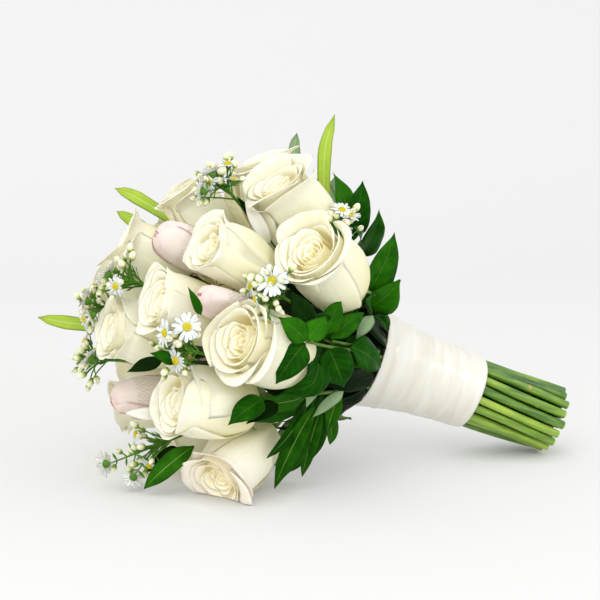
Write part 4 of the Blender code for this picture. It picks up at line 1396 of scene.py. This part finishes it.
def make_bud(one, number, settings, looks, hairs):
    """A half shut bud: broad petals wound over each other, closing to a small rosette."""
    draw = random.Random(BUD_SEED + number)
    shape = Shape()
    count = settings.petals
    for k in range(count):
        age = k / (count - 1)
        line = (1 - age) * np.array(BUD_LINES[1]) + age * np.array(BUD_LINES[0])
        line[:, 0] *= 1 + 0.04 * draw.uniform(-1, 1)
        petal = Petal(
            line=tuple(line),
            middle=GOLDEN * k + 10 * draw.uniform(-1, 1),
            half=88,
            roll=-42,
            side_roll=-30,
            lean=-38,
            lip=0.15 + 0.015 * draw.uniform(-1, 1),
            drop=draw.uniform(0.16, 0.26),
            tuck=0.06,
            ripple=0.015,
            bulge=0.012,
            twist=35,
        )
        add_petal(shape, one, petal, 0.3 + 0.7 * age, draw)
    for k in range(ROSETTE_PETALS):
        petal = Petal(
            line=((0.10, 0.50), (0.18 + 0.09 * k, 0.72), (0.06 + 0.07 * k, 0.91 - 0.01 * k)),
            middle=110 * k + 25 * draw.random(),
            half=84,
            roll=-20,
            side_roll=-10,
            lip=0.05,
            drop=0.08,
            twist=40,
            rows=11,
        )
        add_petal(shape, one, petal, 0.0, draw)
    add_sepals(shape, one, draw)
    add_hairs(hairs, one, settings.hair_rows, draw)
    piece(f"{one.name}_petals", shape, looks, [one.name])


# Leaves and grass

# The widths of each kind of leaf: shares of its length, and of its greatest width there
OVATE = (
    (0, 0.05, 0.14, 0.26, 0.42, 0.58, 0.72, 0.84, 0.93, 1.0),
    (0.07, 0.16, 0.62, 0.93, 1.0, 0.90, 0.66, 0.36, 0.13, 0.02),
)
LANCE = (
    (0, 0.05, 0.16, 0.32, 0.48, 0.62, 0.76, 0.88, 0.95, 1.0),
    (0.10, 0.22, 0.60, 0.92, 1.0, 0.93, 0.70, 0.38, 0.18, 0.02),
)
SEPAL_WIDTHS = ((0, 0.3, 0.6, 1.0), (0.7, 1.0, 0.6, 0.05))
BLADE_WIDTHS = ((0, 0.2, 0.45, 0.75, 0.9, 1.0), (0.16, 0.25, 0.75, 1.0, 0.65, 0.03))
LEAF_CLEAR = 2.3  # how far a leaf's spine keeps off the blooms, besides what its width takes
COLLAR_LEAVES = 40


def add_leaf(
    shape,
    spine,
    width,
    upper,
    widths,
    look,
    draw,
    rows=19,
    columns=9,
    thickness=0.5,
    fold=0.16,
    waves=0.04,
    tone=None,
):
    """A leaf along a few spine points, folded up along its midrib and a little wavy at its edge."""
    line = smooth_line(spine, rows)
    along = np.gradient(line, axis=0)
    share = np.linspace(0, 1, rows)
    half = width / 2 * np.interp(share, *widths)
    side = np.linspace(1, -1, columns)
    phase = draw.uniform(0, ROUND)
    grid = np.empty((rows, columns, 3))
    for i in range(rows):
        across = unit(np.cross(along[i], upper))
        normal = unit(np.cross(across, along[i]))
        lift = fold * half[i] * 2 * np.abs(side) ** 1.25
        lift = lift + waves * width * np.sin(11 * share[i] + phase + 0.7 * np.sign(side)) * np.abs(side) ** 2
        lift = lift - 0.10 * half[i] * np.abs(side) ** 4
        grid[i] = line[i] + np.outer(half[i] * side, across) + np.outer(lift, normal)
    grid[..., 2] = np.maximum(grid[..., 2], thickness)
    tone = draw.random() if tone is None else tone
    add_blade(shape, grid, thickness, look, share[:, None], side[None, :], tone)


def leaf_spine(foot, tip, width, facing, blooms, arch=0.12):
    """The solid leaf's spine: arched towards its upper side and clear of the blooms."""
    run = tip - foot
    upper = unit(facing - run * (facing @ run) / (run @ run))
    spine = []
    for share, wide in zip(LEAF_SHARES, LEAF_WIDTHS):
        point = foot + run * share + upper * arch * np.linalg.norm(run) * 4 * share * (1 - share)
        if share > 0:
            point = pushed_clear(point, LEAF_CLEAR + 0.4 * wide * width, blooms)
            point[2] = max(point[2], LEAF_OFF_FLOOR)
        spine.append(point)
    return spine, upper


def make_sprig(number, bouquet, looks):
    """A leafy sprig from inside the satin's collar: its stalk, and its leaves laid over the blooms."""
    draw = random.Random(SPRIG_SEED + number)
    shape_number = number % len(SPRIG_SHAPES)
    clock, side = SPRIG_CLOCKS[number], 1 if number < len(SPRIG_SHAPES) else -1
    (node_at, node_out, node_clock), leaves = SPRIG_SHAPES[shape_number]
    between = STEM_STEP * round(clock / STEM_STEP)
    base = in_handle(COLLAR_AT + 14, wrap_inside(COLLAR_AT + 14) - STALK_RADIUS - GAP, between)
    rim = in_handle(COLLAR_AT - 1, wrap_inside(COLLAR_AT) - STALK_RADIUS - GAP, between)
    node = pushed_clear(in_handle(node_at, node_out, clock), 3, bouquet.blooms)
    middle = pushed_clear((rim + node) / 2, 3, bouquet.blooms)
    shape = Shape()
    stalk = smooth_line([base, rim, middle, node], 17)
    shape.add(tube(stalk, np.interp(range(17), (0, 16), (1.5, 1.0)), 8), look=1, tone=0.6)
    widths = LANCE if shape_number in NARROW_SHAPES else OVATE
    for down, out, turn, width, share in leaves if side > 0 else leaves[:4]:
        foot = middle + (node - middle) * share
        tip = in_handle(down, out, clock + side * (turn - node_clock))
        outward = unit(foot + tip - 2 * (HANDLE_START - 30 * FORE))
        spine, upper = leaf_spine(foot, tip, width, outward + side * NEAR, bouquet.blooms)
        add_leaf(shape, spine, width, upper, widths, 0, draw)
    name = f"leaf_sprig_{number + 1:02d}"
    piece(f"{name}_leaves", shape, looks, [name])


def make_collar_leaves(bouquet, looks):
    """Leaves that close the space between the roses and the satin all the way round, in a near black painted
    shade.
    """
    draw = random.Random(COLLAR_SEED)
    shape = Shape()
    for k in range(COLLAR_LEAVES):
        clock = 360 * k / COLLAR_LEAVES + 5 * draw.uniform(-1, 1)
        deep = k % 2
        foot = in_handle(104 - 2 * deep, 30 - 3 * deep, clock)
        down = draw.uniform(48, 62) - 12 * deep
        out = draw.uniform(58, 72) - 6 * deep
        tip = in_handle(down, out, clock + draw.uniform(-16, 16))
        facing = spoke(clock) - 0.5 * FORE
        spine, upper = leaf_spine(foot, tip, 22, facing, bouquet.blooms, 0.10)
        add_leaf(shape, spine, draw.uniform(20, 27), upper, OVATE, 0, draw, rows=15, columns=7, tone=0.0)
    piece("collar_leaves", shape, looks)


# Leaves that hang before the blooms: foot and tip as (across, down, near) in the camera's frame,
# width, look (0 broad, 1 narrow, 2 near black as painted shade) and whether the pale back shows
FRONT_LEAVES = (
    ((306, 341, 114), (279, 317, 112), 16, 0, False),
    ((308, 341, 114), (326, 317, 107), 16, 0, False),
    ((305, 343, 115), (276, 384, 115), 21, 0, False),
    ((330, 339, 92), (364, 313, 78), 15, 0, False),
    ((326, 335, 92), (341, 298, 86), 14, 0, False),
    ((343, 319, 76), (358, 294, 70), 13, 2, False),
    ((328, 347, 94), (344, 388, 91), 24, 0, False),
    ((350, 346, 80), (381, 368, 66), 23, 0, False),
    ((311, 331, 100), (290, 290, 98), 15, 2, False),
    ((312, 306, 62), (283, 281, 60), 13, 2, False),
    ((290, 394, 72), (262, 387, 70), 12, 2, False),
    ((201, 315, 88), (188, 287, 92), 6, 0, False),
    ((163, 361, 76), (127, 372, 70), 10, 2, False),
    ((176, 362, 93), (150, 353, 95), 9, 0, False),
    ((264, 399, 96), (228, 425, 102), 17, 0, False),
    ((278, 404, 92), (246, 424, 100), 13, 2, False),
    ((194, 446, 52), (144, 489, 46), 15, 1, False),
    ((184, 450, 40), (147, 472, 36), 14, 2, False),
    ((270, 243, 18), (236, 196, 24), 10, 2, False),
    ((266, 245, 14), (250, 203, 16), 9, 2, False),
    ((316, 404, 82), (274, 489, 64), 13, 1, False),
    ((322, 405, 80), (302, 477, 60), 11, 1, False),
    ((340, 392, 84), (327, 432, 74), 11, 1, False),
    ((322, 371, 92), (306, 408, 92), 10, 0, True),
    ((344, 391, 86), (312, 418, 84), 9, 0, True),
    ((373, 315, 68), (356, 340, 72), 10, 0, True),
)
# Their stalks, as places in the same frame
FRONT_STALKS = (
    ((378, 352, 50), (342, 349, 86), (307, 342, 113)),
    ((372, 346, 46), (352, 345, 70), (333, 341, 92)),
)
# White petals that stand alone between the blooms, in the same terms
LONE_PETALS = (
    ((270, 244, 40), (245, 201, 38), 10),
    ((170, 414, 50), (125, 413, 52), 9),
)


def make_front_leaves(looks):
    """The leaves that lie over the blooms in the foreground, with their stalks."""
    draw = random.Random(FRONT_SEED)
    shape = Shape()
    for foot, tip, width, look, turned_over in FRONT_LEAVES:
        foot, tip = in_view(*foot), in_view(*tip)
        facing = CAMERA_BACK + 0.5 * CAMERA_UP
        spine, upper = leaf_spine(foot, tip, width, facing, (), 0.09)
        widths = LANCE if look == 1 else OVATE
        add_leaf(shape, spine, width, -upper if turned_over else upper, widths, look, draw, fold=0.10)
    for places in FRONT_STALKS:
        line = smooth_line([in_view(*place) for place in places], 13)
        shape.add(tube(line, np.linspace(1.4, 0.9, 13), 8), look=3, tone=0.5)
    piece("front_leaves", shape, looks)


def make_lone_petals(look):
    """Slender white petals between the blooms."""
    draw = random.Random(LONE_SEED)
    shape = Shape()
    for foot, tip, width in LONE_PETALS:
        spine, upper = leaf_spine(in_view(*foot), in_view(*tip), width, CAMERA_BACK, (), 0.10)
        add_leaf(shape, spine, width, upper, LANCE, 0, draw, fold=0.12, waves=0.02, tone=0.9)
    piece("lone_petals", shape, [look])


def make_grass(one, row, number, look):
    """A narrow blade from a stem inside the head, out between the blooms, bending to its tip."""
    _, tip_at, width, _ = row
    tip = in_handle(*tip_at)
    draw = random.Random(GRASS_SEED + number)
    reach = np.linalg.norm(tip - one.face)
    bend = one.face + 0.45 * (tip - one.face) + 0.12 * reach * one.way
    spine = [one.at(0), one.at(0.35), one.at(0.85), bend, tip]
    shape = Shape()
    upper = unit(np.cross(np.cross(one.way, VIEW), one.way))
    add_leaf(shape, spine, width, upper, BLADE_WIDTHS, 0, draw, rows=31, columns=7, fold=0.10, waves=0.01)
    piece(f"{one.name}_leaf", shape, [look], [one.name])


# Asters

RAY_WIDTHS = ((0, 0.2, 0.55, 0.85, 0.96, 1.0), (0.45, 0.75, 1.0, 0.85, 0.5, 0.1))
# Radius and height of an aster's domed disc and of the green cup that holds it
DISC_PROFILE = ((0, -1.6), (1.2, -1.5), (2.2, -0.5), (2.3, 0.6), (1.6, 1.3), (0, 1.6))
CUP_PROFILE = ((0, -4.0), (0.8, -3.8), (1.7, -2.9), (2.5, -1.2), (2.6, -0.4), (0, -0.5))
DISC_FLORETS = 46
# Radius and height of the small solids that are scattered: a shut bud, a disc floret and a hair
BUD_PROFILE = (
    (0, -2.6),
    (0.8, -2.5),
    (1.6, -1.7),
    (2.1, -0.4),
    (2.25, 1.0),
    (1.95, 2.4),
    (1.2, 3.5),
    (0.5, 4.0),
    (0, 4.1),
)
FLORET_PROFILE = ((0, -0.2), (0.26, 0.0), (0.22, 0.35), (0, 0.5))
HAIR_PROFILE = ((0, -0.2), (0.17, 0.1), (0.17, 1.6), (0, 2.1))
# Asters in the foreground: their spray, place in the camera's frame, radius, and how far they face
# to the right, up and to the camera
FRONT_ASTERS = (
    (1, (272, 281, 107), 11.5, (-0.1, 0.1, 0.8)),
    (1, (256, 299, 106), 8.5, (-0.9, -0.2, 0.15)),
    (1, (267, 321, 108), 8.0, (-0.2, -0.9, 0.3)),
    (2, (187, 327, 99), 10.5, (0.15, 0.1, 0.8)),
    (2, (165, 333, 92), 10.5, (-0.8, 0.0, 0.5)),
    (2, (183, 366, 96), 7.5, (-0.1, -0.9, 0.1)),
    (0, (234, 180, 40), 9.5, (0.1, 1.0, 0.15)),
    (0, (212, 173, 34), 10.5, (-0.3, 0.9, -0.25)),
    (0, (201, 191, 40), 10.0, (-0.9, 0.1, -0.2)),
    (3, (342, 210, 52), 8.5, (0.2, 0.8, 0.6)),
    (3, (346, 229, 56), 7.5, (0.5, 0.3, 0.3)),
    (4, (107, 273, 38), 9.0, (-0.7, 0.6, -0.25)),
    (5, (86, 301, 14), 10.0, (-0.95, 0.2, -0.15)),
    (5, (91, 316, 16), 9.0, (-0.9, -0.4, -0.1)),
    (6, (90, 357, 8), 9.5, (-0.7, 0.7, -0.2)),
    (7, (105, 464, 30), 9.5, (-0.8, -0.1, -0.5)),
    (7, (133, 478, 34), 8.5, (-0.3, -0.6, -0.6)),
)


class Sprays:
    """The parts of all the sprays while they grow. Each kind of part becomes one piece."""

    def __init__(self, settings, draw):
        self.settings, self.draw = settings, draw
        self.stalks, self.buds, self.florets = [], [], []
        self.rays, self.discs, self.greens = Shape(), Shape(), Shape()

    def stalk(self, places, foot, top, tone):
        """A stalk through a few places, with its radius at its foot and at its top."""
        self.stalks.append((smooth_line(places, 7), np.linspace(foot, top, 7), tone))

    def leaf(self, foot, tip, width, upper, rise):
        """A narrow leaf from a stalk, which lies on the surface where it would dip below it."""
        tip[2] = max(tip[2], 1.0)
        spine = [foot, foot + 0.35 * (tip - foot) + rise, foot + 0.7 * (tip - foot) + rise, tip]
        add_leaf(self.greens, spine, width, upper, LANCE, 0, self.draw, rows=7, columns=5, thickness=0.3)

    def aster(self, head, way, radius, rays):
        """Ray florets in two rows round a domed disc of tiny florets, in a green cup."""
        first = unit(np.cross(way, (0.2, 0.9, 0.4)))
        sides = first, np.cross(way, first)
        form = {"rows": 8, "columns": 5, "thickness": 0.18, "fold": 0.05}
        for k in range(rays):
            outward = round_from(sides, 360 * k / rays + 9 * self.draw.uniform(-1, 1))
            reach = radius * self.draw.uniform(0.84, 1.0)
            lift = self.draw.uniform(-0.8, 1.8) + 0.5 * (k % 2)
            spine = [
                head + 0.18 * radius * outward - 0.3 * way,
                head + 0.45 * reach * outward + 0.5 * way,
                head + 0.78 * reach * outward + (0.4 + 0.4 * lift) * way,
                head + reach * outward + lift * way,
            ]
            add_leaf(self.rays, spine, 4.4 * radius / rays, way, RAY_WIDTHS, 0, self.draw, **form)
        wide = 0.7 + 0.04 * radius
        for shape, profile in ((self.discs, DISC_PROFILE), (self.greens, CUP_PROFILE)):
            widened = [(wide * out, height) for out, height in profile]
            shape.add(turned_solid(widened, head, way, first, 14), tone=0.3)
        for k in range(DISC_FLORETS):
            out = math.sqrt((k + 0.5) / DISC_FLORETS)
            outward = round_from(sides, GOLDEN * k)
            place = head + 2.2 * wide * out * outward + (1.6 - 0.8 * out * out) * way
            self.florets.append((place, way + 0.3 * outward))


def spray_heads(one, asters, buds, blooms, draw):
    """Where a spray's branches fork and end, as (fork, head, way, whether it is an aster)."""
    sides = one.sides()
    count = asters + buds
    heads = []
    for k in range(count):
        outward = round_from(sides, GOLDEN * k + 40 * draw.random())
        reach = 13 * math.sqrt((k + 0.6) / count)
        head = one.face + (8 - 0.3 * reach + 2 * draw.random()) * one.way + reach * outward
        is_aster = k >= buds
        size = ASTER_RADIUS if is_aster else BUD_RADIUS
        head = pushed_clear(head, 0.75 * size + 1.2, blooms)
        head[2] = max(head[2], size)
        way = unit(unit(head - one.at(0.3)) + 0.35 * outward)
        heads.append((one.at(0.94 - 0.022 * k), head, way, is_aster))
    return heads


def grow_spray(sprays, one, heads, blooms):
    """One spray: its main stalk and branches, and more shut buds with a leaf under each."""
    sprays.stalk([one.at(0), one.at(0.4), one.at(0.7), one.at(1.0)], 1.6, 0.9, 0.2)
    for fork, head, way, is_aster in heads:
        bend = (fork + head) / 2 + 1.2 * one.way
        sprays.stalk([fork, bend, head - (3.4 if is_aster else 2.0) * way], 0.75, 0.5, 0.3)
        if is_aster:
            sprays.aster(head, way, ASTER_RADIUS, sprays.settings.rays)
        else:
            sprays.buds.append((head, way))
    draw, sides, count = sprays.draw, one.sides(), sprays.settings.extra_buds
    for k in range(count):
        outward = round_from(sides, GOLDEN * k + 60 * draw.random() + 25)
        reach = 21 * math.sqrt((k + 0.5) / count)
        head = one.face + (9 - 0.35 * reach + 6 * draw.uniform(-1, 1)) * one.way + reach * outward
        head = pushed_clear(head, 2.6, blooms)
        head[2] = max(head[2], 3.0)
        fork = one.at(draw.uniform(0.70, 0.98))
        way = unit(unit(head - fork) + 0.3 * outward)
        bend = (fork + head) / 2 + 1.0 * one.way
        sprays.stalk([fork, bend, head - 1.9 * way], 0.6, 0.4, draw.random())
        sprays.buds.append((head, way))
        foot = fork + 0.4 * (bend - fork)
        tip = foot + draw.uniform(7, 12) * unit(outward + 0.8 * one.way)
        sprays.leaf(foot, tip, 2.2, one.way, 0.4 * one.way)


def grow_front_aster(sprays, one, place, radius, facing):
    """An aster before the blooms on its own stalk, with small buds and leaves along it."""
    head, foot = in_view(*place), one.at(0.9)
    right, over, near = facing
    way = unit(right * CAMERA_RIGHT + over * CAMERA_UP + near * CAMERA_BACK)
    sprays.stalk([foot, (foot + head) / 2 - 2 * way, head - 3.4 * way], 0.8, 0.5, 0.3)
    draw = sprays.draw
    for share in (0.45, 0.62, 0.8):
        fork = foot + share * (head - foot) - 1.5 * way
        ahead = unit(head - fork)
        aside = unit(np.cross(head - fork, way)) * draw.choice((-1, 1)) + 0.5 * ahead
        tip = fork + draw.uniform(5, 9) * unit(aside) + 1.5 * way
        tip[2] = max(tip[2], 3.0)
        sprays.stalk([fork, (fork + tip) / 2 - 0.5 * way, tip], 0.6, 0.4, 0.5)
        sprays.buds.append((tip, tip - fork))
        sprays.leaf(fork, fork - draw.uniform(6, 10) * unit(aside - 0.8 * ahead), 2.4, way, 0.0)
    sprays.aster(head, way, radius, sprays.settings.rays - 5)


def make_asters(settings, bouquet, looks):
    """All the sprays: stalks with small leaves, open asters, and round buds at the branch ends."""
    blooms = bouquet.blooms
    sprays = Sprays(settings, random.Random(ASTER_SEED))
    for number, (one, row) in enumerate(zip(bouquet.sprays, SPRAYS)):
        heads = spray_heads(one, row[4], row[5], blooms, random.Random(SEED + number))
        grow_spray(sprays, one, heads, blooms)
    for number, place, radius, facing in FRONT_ASTERS:
        grow_front_aster(sprays, bouquet.sprays[number], place, radius, facing)
    stalk, ray, disc, shut, green = looks
    stalks = line_mesh("aster_stalks", sprays.stalks)
    mesh = grown("aster_stalks", stalks, rods_tree(), Sides=8, Material=stalk)
    piece("aster_stalks", mesh, [stalk], [one.name for one in bouquet.sprays])
    piece("aster_rays", sprays.rays, [ray])
    piece("aster_discs", sprays.discs, [disc])
    piece("aster_leaves", sprays.greens, [green])
    scattered("aster_buds", sprays.buds, template(BUD_PROFILE, 10), shut, 0.8, 1.15)
    florets = template(FLORET_PROFILE, 5)
    scattered("aster_disc_florets", sprays.florets, florets, disc, 0.8, 1.2)


def template(profile, sides):
    """A small solid of revolution to scatter, with its height and its turn as values."""
    axis, side = np.array([0.0, 0.0, 1.0]), np.array([1.0, 0.0, 0.0])
    points, faces = turned_solid(profile, np.zeros(3), axis, side, sides)
    low, high = profile[0][1], profile[-1][1]
    share = (points[:, 2] - low) / (high - low)
    turn = np.arctan2(points[:, 1], points[:, 0]) / math.pi
    shape = Shape()
    shape.add((points, faces), along=share, across=turn)
    mesh = shape.mesh("template")
    # Each scattered copy has a shade of its own
    mesh.attributes.remove(mesh.attributes["tone"])
    return link("template", mesh)


def scattered(name, places, source, look, least, most):
    """A piece of many copies of a small solid, at places and ways of their own, in varied sizes."""
    inputs = {"Template": source, "Least": least, "Most": most, "Seed": SEED, "Material": look}
    made = grown(name, point_mesh(name, places), scatter_tree(), **inputs)
    bpy.data.objects.remove(source)
    piece(name, made, [look])


# Settings


def colour_property(name, colour, description):
    """A colour that can be set, from its sRGB value."""
    return FloatVectorProperty(
        name=name,
        description=description,
        default=linear(colour)[:3],
        subtype="COLOR",
        size=3,
        min=0,
        max=1,
    )


class StageSettings(bpy.types.PropertyGroup):
    """The studio's floor and lights"""

    floor_colour: colour_property("Floor", "#bcbcbb", "Colour of the studio floor")
    glow: FloatProperty(name="Floor glow", description="Light that the floor gives", default=0.64, min=0)
    key_power: FloatProperty(
        name="Key light", description="Power of the soft light", default=11, unit="POWER"
    )
    sky: FloatProperty(
        name="Surrounding light", description="Strength of the even light", default=1.08, min=0
    )


class StemSettings(bpy.types.PropertyGroup):
    """The stems and their tape"""

    tape: BoolProperty(name="Crepe tape", description="Show the tape in its own finish", default=True)


class SatinSettings(bpy.types.PropertyGroup):
    """The satin ribbon"""

    fold_depth: FloatProperty(
        name="Fold depth",
        description="Scale of the satin's folds",
        default=0.001,
        unit="LENGTH",
        min=0,
        max=0.002,
    )
    ribbon_length: FloatProperty(
        name="Ribbon length",
        description="Length of the ribbon before it was wound on",
        default=0.5,
        unit="LENGTH",
    )


class RoseSettings(bpy.types.PropertyGroup):
    """The petals of each open rose"""

    heart_petals: IntProperty(
        name="Heart", description="Petals in the tight spiral", default=10, min=3, max=20
    )
    cup_petals: IntProperty(
        name="Cup", description="Broad petals round the heart", default=6, min=3, max=10
    )
    guard_petals: IntProperty(
        name="Guard", description="Large outer petals", default=5, min=3, max=8
    )


class BudSettings(bpy.types.PropertyGroup):
    """The petals and hairs of each blush bud"""

    petals: IntProperty(
        name="Petals", description="Wound petals on each bud", default=6, min=4, max=12
    )
    hair_rows: IntProperty(
        name="Hair rows", description="Rows of fine hairs on each bud", default=16, min=0, max=40
    )


class AsterSettings(bpy.types.PropertyGroup):
    """The sprays of asters"""

    rays: IntProperty(
        name="Rays", description="Ray florets on each aster", default=21, min=8, max=40
    )
    extra_buds: IntProperty(
        name="Buds", description="Shut buds added to each spray", default=12, min=0, max=40
    )


class LeafSettings(bpy.types.PropertyGroup):
    """The leaves' surface"""

    gloss: FloatProperty(
        name="Roughness", description="Roughness of a leaf's top", default=0.36, subtype="FACTOR"
    )


class GrassSettings(bpy.types.PropertyGroup):
    """The blades of grass"""

    grey_blade: IntProperty(
        name="Grey blade", description="The blade that is grey-green", default=1, min=0
    )


# Operators


class BOUQUET_OT_stage(bpy.types.Operator):
    """Set up the camera, the studio floor and the soft lights"""

    bl_idname = "bouquet.stage"
    bl_label = "Stage"

    def execute(self, context):
        settings = context.scene.bouquet_stage
        make_camera()
        make_sweep(floor_look(settings))
        make_lights(settings)
        # A studio picture on white needs the plain transform, which keeps the greens deep
        context.scene.view_settings.view_transform = "Standard"
        return {"FINISHED"}


class BOUQUET_OT_stems(bpy.types.Operator):
    """Make the round stems from the cut ends to each bloom, and finish the tape round them"""

    bl_idname = "bouquet.stems"
    bl_label = "Stems and tape"

    def execute(self, context):
        settings = context.scene.bouquet_stems
        bouquet = laid_out()
        pairs = dealt(bouquet.blooms + bouquet.sprays)
        make_stems(pairs, stem_look())
        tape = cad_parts["floral_tape"]
        if settings.tape:
            tape.data.materials.clear()
            tape.data.materials.append(tape_look())
        return {"FINISHED"}


class BOUQUET_OT_satin(bpy.types.Operator):
    """Wind the satin ribbon round the handle"""

    bl_idname = "bouquet.satin"
    bl_label = "Satin wrap"

    def execute(self, context):
        settings = context.scene.bouquet_satin
        make_satin(settings, satin_look())
        return {"FINISHED"}


class BOUQUET_OT_roses(bpy.types.Operator):
    """Make each open rose from its spiral of petals"""

    bl_idname = "bouquet.roses"
    bl_label = "Roses"

    def execute(self, context):
        settings = context.scene.bouquet_roses
        cream, blushed = rose_look(), blushed_look()
        sepal = green_look("rose_sepal", "#567a32", "#93ab5c")
        for number, one in enumerate(laid_out().roses):
            make_rose(one, number, settings, [blushed if number == BLUSHED_ROSE else cream, sepal])
        white = ((0.0, "#dfe0c4"), (0.3, "#e8e6dc"), (1.0, "#eeeae6"))
        make_lone_petals(petal_look("lone_petal_white", white, white))
        return {"FINISHED"}


class BOUQUET_OT_buds(bpy.types.Operator):
    """Make the blush buds and the fine hairs on them"""

    bl_idname = "bouquet.buds"
    bl_label = "Blush buds"

    def execute(self, context):
        settings = context.scene.bouquet_buds
        looks = [bud_look(), green_look("bud_sepal", "#5f7f3c", "#9db26a")]
        hairs = []
        for number, one in enumerate(laid_out().buds):
            make_bud(one, number, settings, looks, hairs)
        scattered("bud_hairs", hairs, template(HAIR_PROFILE, 4), hair_look(), 0.85, 1.1)
        return {"FINISHED"}


class BOUQUET_OT_asters(bpy.types.Operator):
    """Make the sprays: stalks, open asters, shut buds and small leaves"""

    bl_idname = "bouquet.asters"
    bl_label = "Aster sprays"

    def execute(self, context):
        looks = [
            green_look("aster_stalk", "#2b5a10", "#62992e"),
            ray_look(),
            disc_look(),
            shut_bud_look(),
            green_look("aster_leaf", "#2c5a12", "#639734"),
        ]
        make_asters(context.scene.bouquet_asters, laid_out(), looks)
        return {"FINISHED"}


class BOUQUET_OT_leaves(bpy.types.Operator):
    """Make the leafy sprigs and the dark leaves round the collar"""

    bl_idname = "bouquet.leaves"
    bl_label = "Leaves"

    def execute(self, context):
        settings = context.scene.bouquet_leaves
        stalk = green_look("leaf_stalk", "#3f5d26", "#6c8a3f")
        broad_top = ((0.15, "#062c01"), (0.45, "#0f4602"), (0.85, "#2c6f08"))
        broad = leaf_look("broad_leaf_waxy", broad_top, "#6f9a40", "#8ba57c", settings.gloss)
        narrow_top = ((0.2, "#0a3302"), (0.5, "#174b04"), (0.9, "#33700f"))
        narrow_gloss = settings.gloss + 0.06
        narrow = leaf_look(
            "narrow_leaf_waxy", narrow_top, "#9cc062", "#8fab6c", narrow_gloss, 0.55, True
        )
        bouquet = laid_out()
        for number in range(len(SPRIG_CLOCKS)):
            is_narrow = number % len(SPRIG_SHAPES) in NARROW_SHAPES
            make_sprig(number, bouquet, [narrow if is_narrow else broad, stalk])
        # The collar leaves and the dark front leaves are real leaves, painted near black as shade between
        # the blooms and the satin
        painted_shade_top = ((0.2, "#021001"), (0.6, "#072203"), (1.0, "#103604"))
        dark = leaf_look("collar_leaf_dark", painted_shade_top, "#24481a", "#223f1a", settings.gloss + 0.1)
        make_collar_leaves(bouquet, [dark])
        make_front_leaves([broad, narrow, dark, stalk])
        return {"FINISHED"}


class BOUQUET_OT_grass(bpy.types.Operator):
    """Make the long blades of grass"""

    bl_idname = "bouquet.grass"
    bl_label = "Grass blades"

    def execute(self, context):
        bouquet = laid_out()
        lime = grass_look("lily_grass_lime", "#7fae1c", "#b9d83a")
        grey = grass_look("lily_grass_grey", "#5f8a5a", "#8fb07c")
        grey_blade = context.scene.bouquet_grass.grey_blade
        for number, (one, row) in enumerate(zip(bouquet.blades, GRASS)):
            make_grass(one, row, number, grey if number == grey_blade else lime)
        return {"FINISHED"}


OPERATORS = (
    BOUQUET_OT_stage,
    BOUQUET_OT_stems,
    BOUQUET_OT_satin,
    BOUQUET_OT_roses,
    BOUQUET_OT_buds,
    BOUQUET_OT_asters,
    BOUQUET_OT_leaves,
    BOUQUET_OT_grass,
)
SETTINGS = {
    "bouquet_stage": StageSettings,
    "bouquet_stems": StemSettings,
    "bouquet_satin": SatinSettings,
    "bouquet_roses": RoseSettings,
    "bouquet_buds": BudSettings,
    "bouquet_asters": AsterSettings,
    "bouquet_leaves": LeafSettings,
    "bouquet_grass": GrassSettings,
}


class BOUQUET_PT_panel(bpy.types.Panel):
    """The bouquet's tab in the sidebar"""

    bl_label = "Bouquet"
    bl_idname = "BOUQUET_PT_panel"
    bl_space_type = "VIEW_3D"
    bl_region_type = "UI"
    bl_category = "Bouquet"

    def draw(self, context):
        """Show each operator with its settings under it."""
        for operator, name in zip(OPERATORS, SETTINGS):
            box = self.layout.box()
            box.operator(operator.bl_idname)
            settings = getattr(context.scene, name)
            for label in settings.__annotations__:
                box.prop(settings, label)


def register():
    """Make the settings, operators and panel known."""
    for name, group in SETTINGS.items():
        bpy.utils.register_class(group)
        setattr(bpy.types.Scene, name, PointerProperty(type=group))
    for shown in (*OPERATORS, BOUQUET_PT_panel):
        bpy.utils.register_class(shown)


def unregister():
    """Take away what register made known."""
    for shown in (BOUQUET_PT_panel, *reversed(OPERATORS)):
        bpy.utils.unregister_class(shown)
    for name, group in SETTINGS.items():
        delattr(bpy.types.Scene, name)
        bpy.utils.unregister_class(group)


def clear_startup():
    """Remove what a new file starts with."""
    for name in ("Cube", "Light", "Camera"):
        if name in bpy.data.objects:
            bpy.data.objects.remove(bpy.data.objects[name])


def main():
    """Build the bouquet on its stage."""
    clear_startup()
    register()
    bpy.ops.bouquet.stage()
    bpy.ops.bouquet.stems()
    bpy.ops.bouquet.satin()
    bpy.ops.bouquet.roses()
    bpy.ops.bouquet.buds()
    bpy.ops.bouquet.asters()
    bpy.ops.bouquet.leaves()
    bpy.ops.bouquet.grass()


if __name__ == "__main__":
    main()
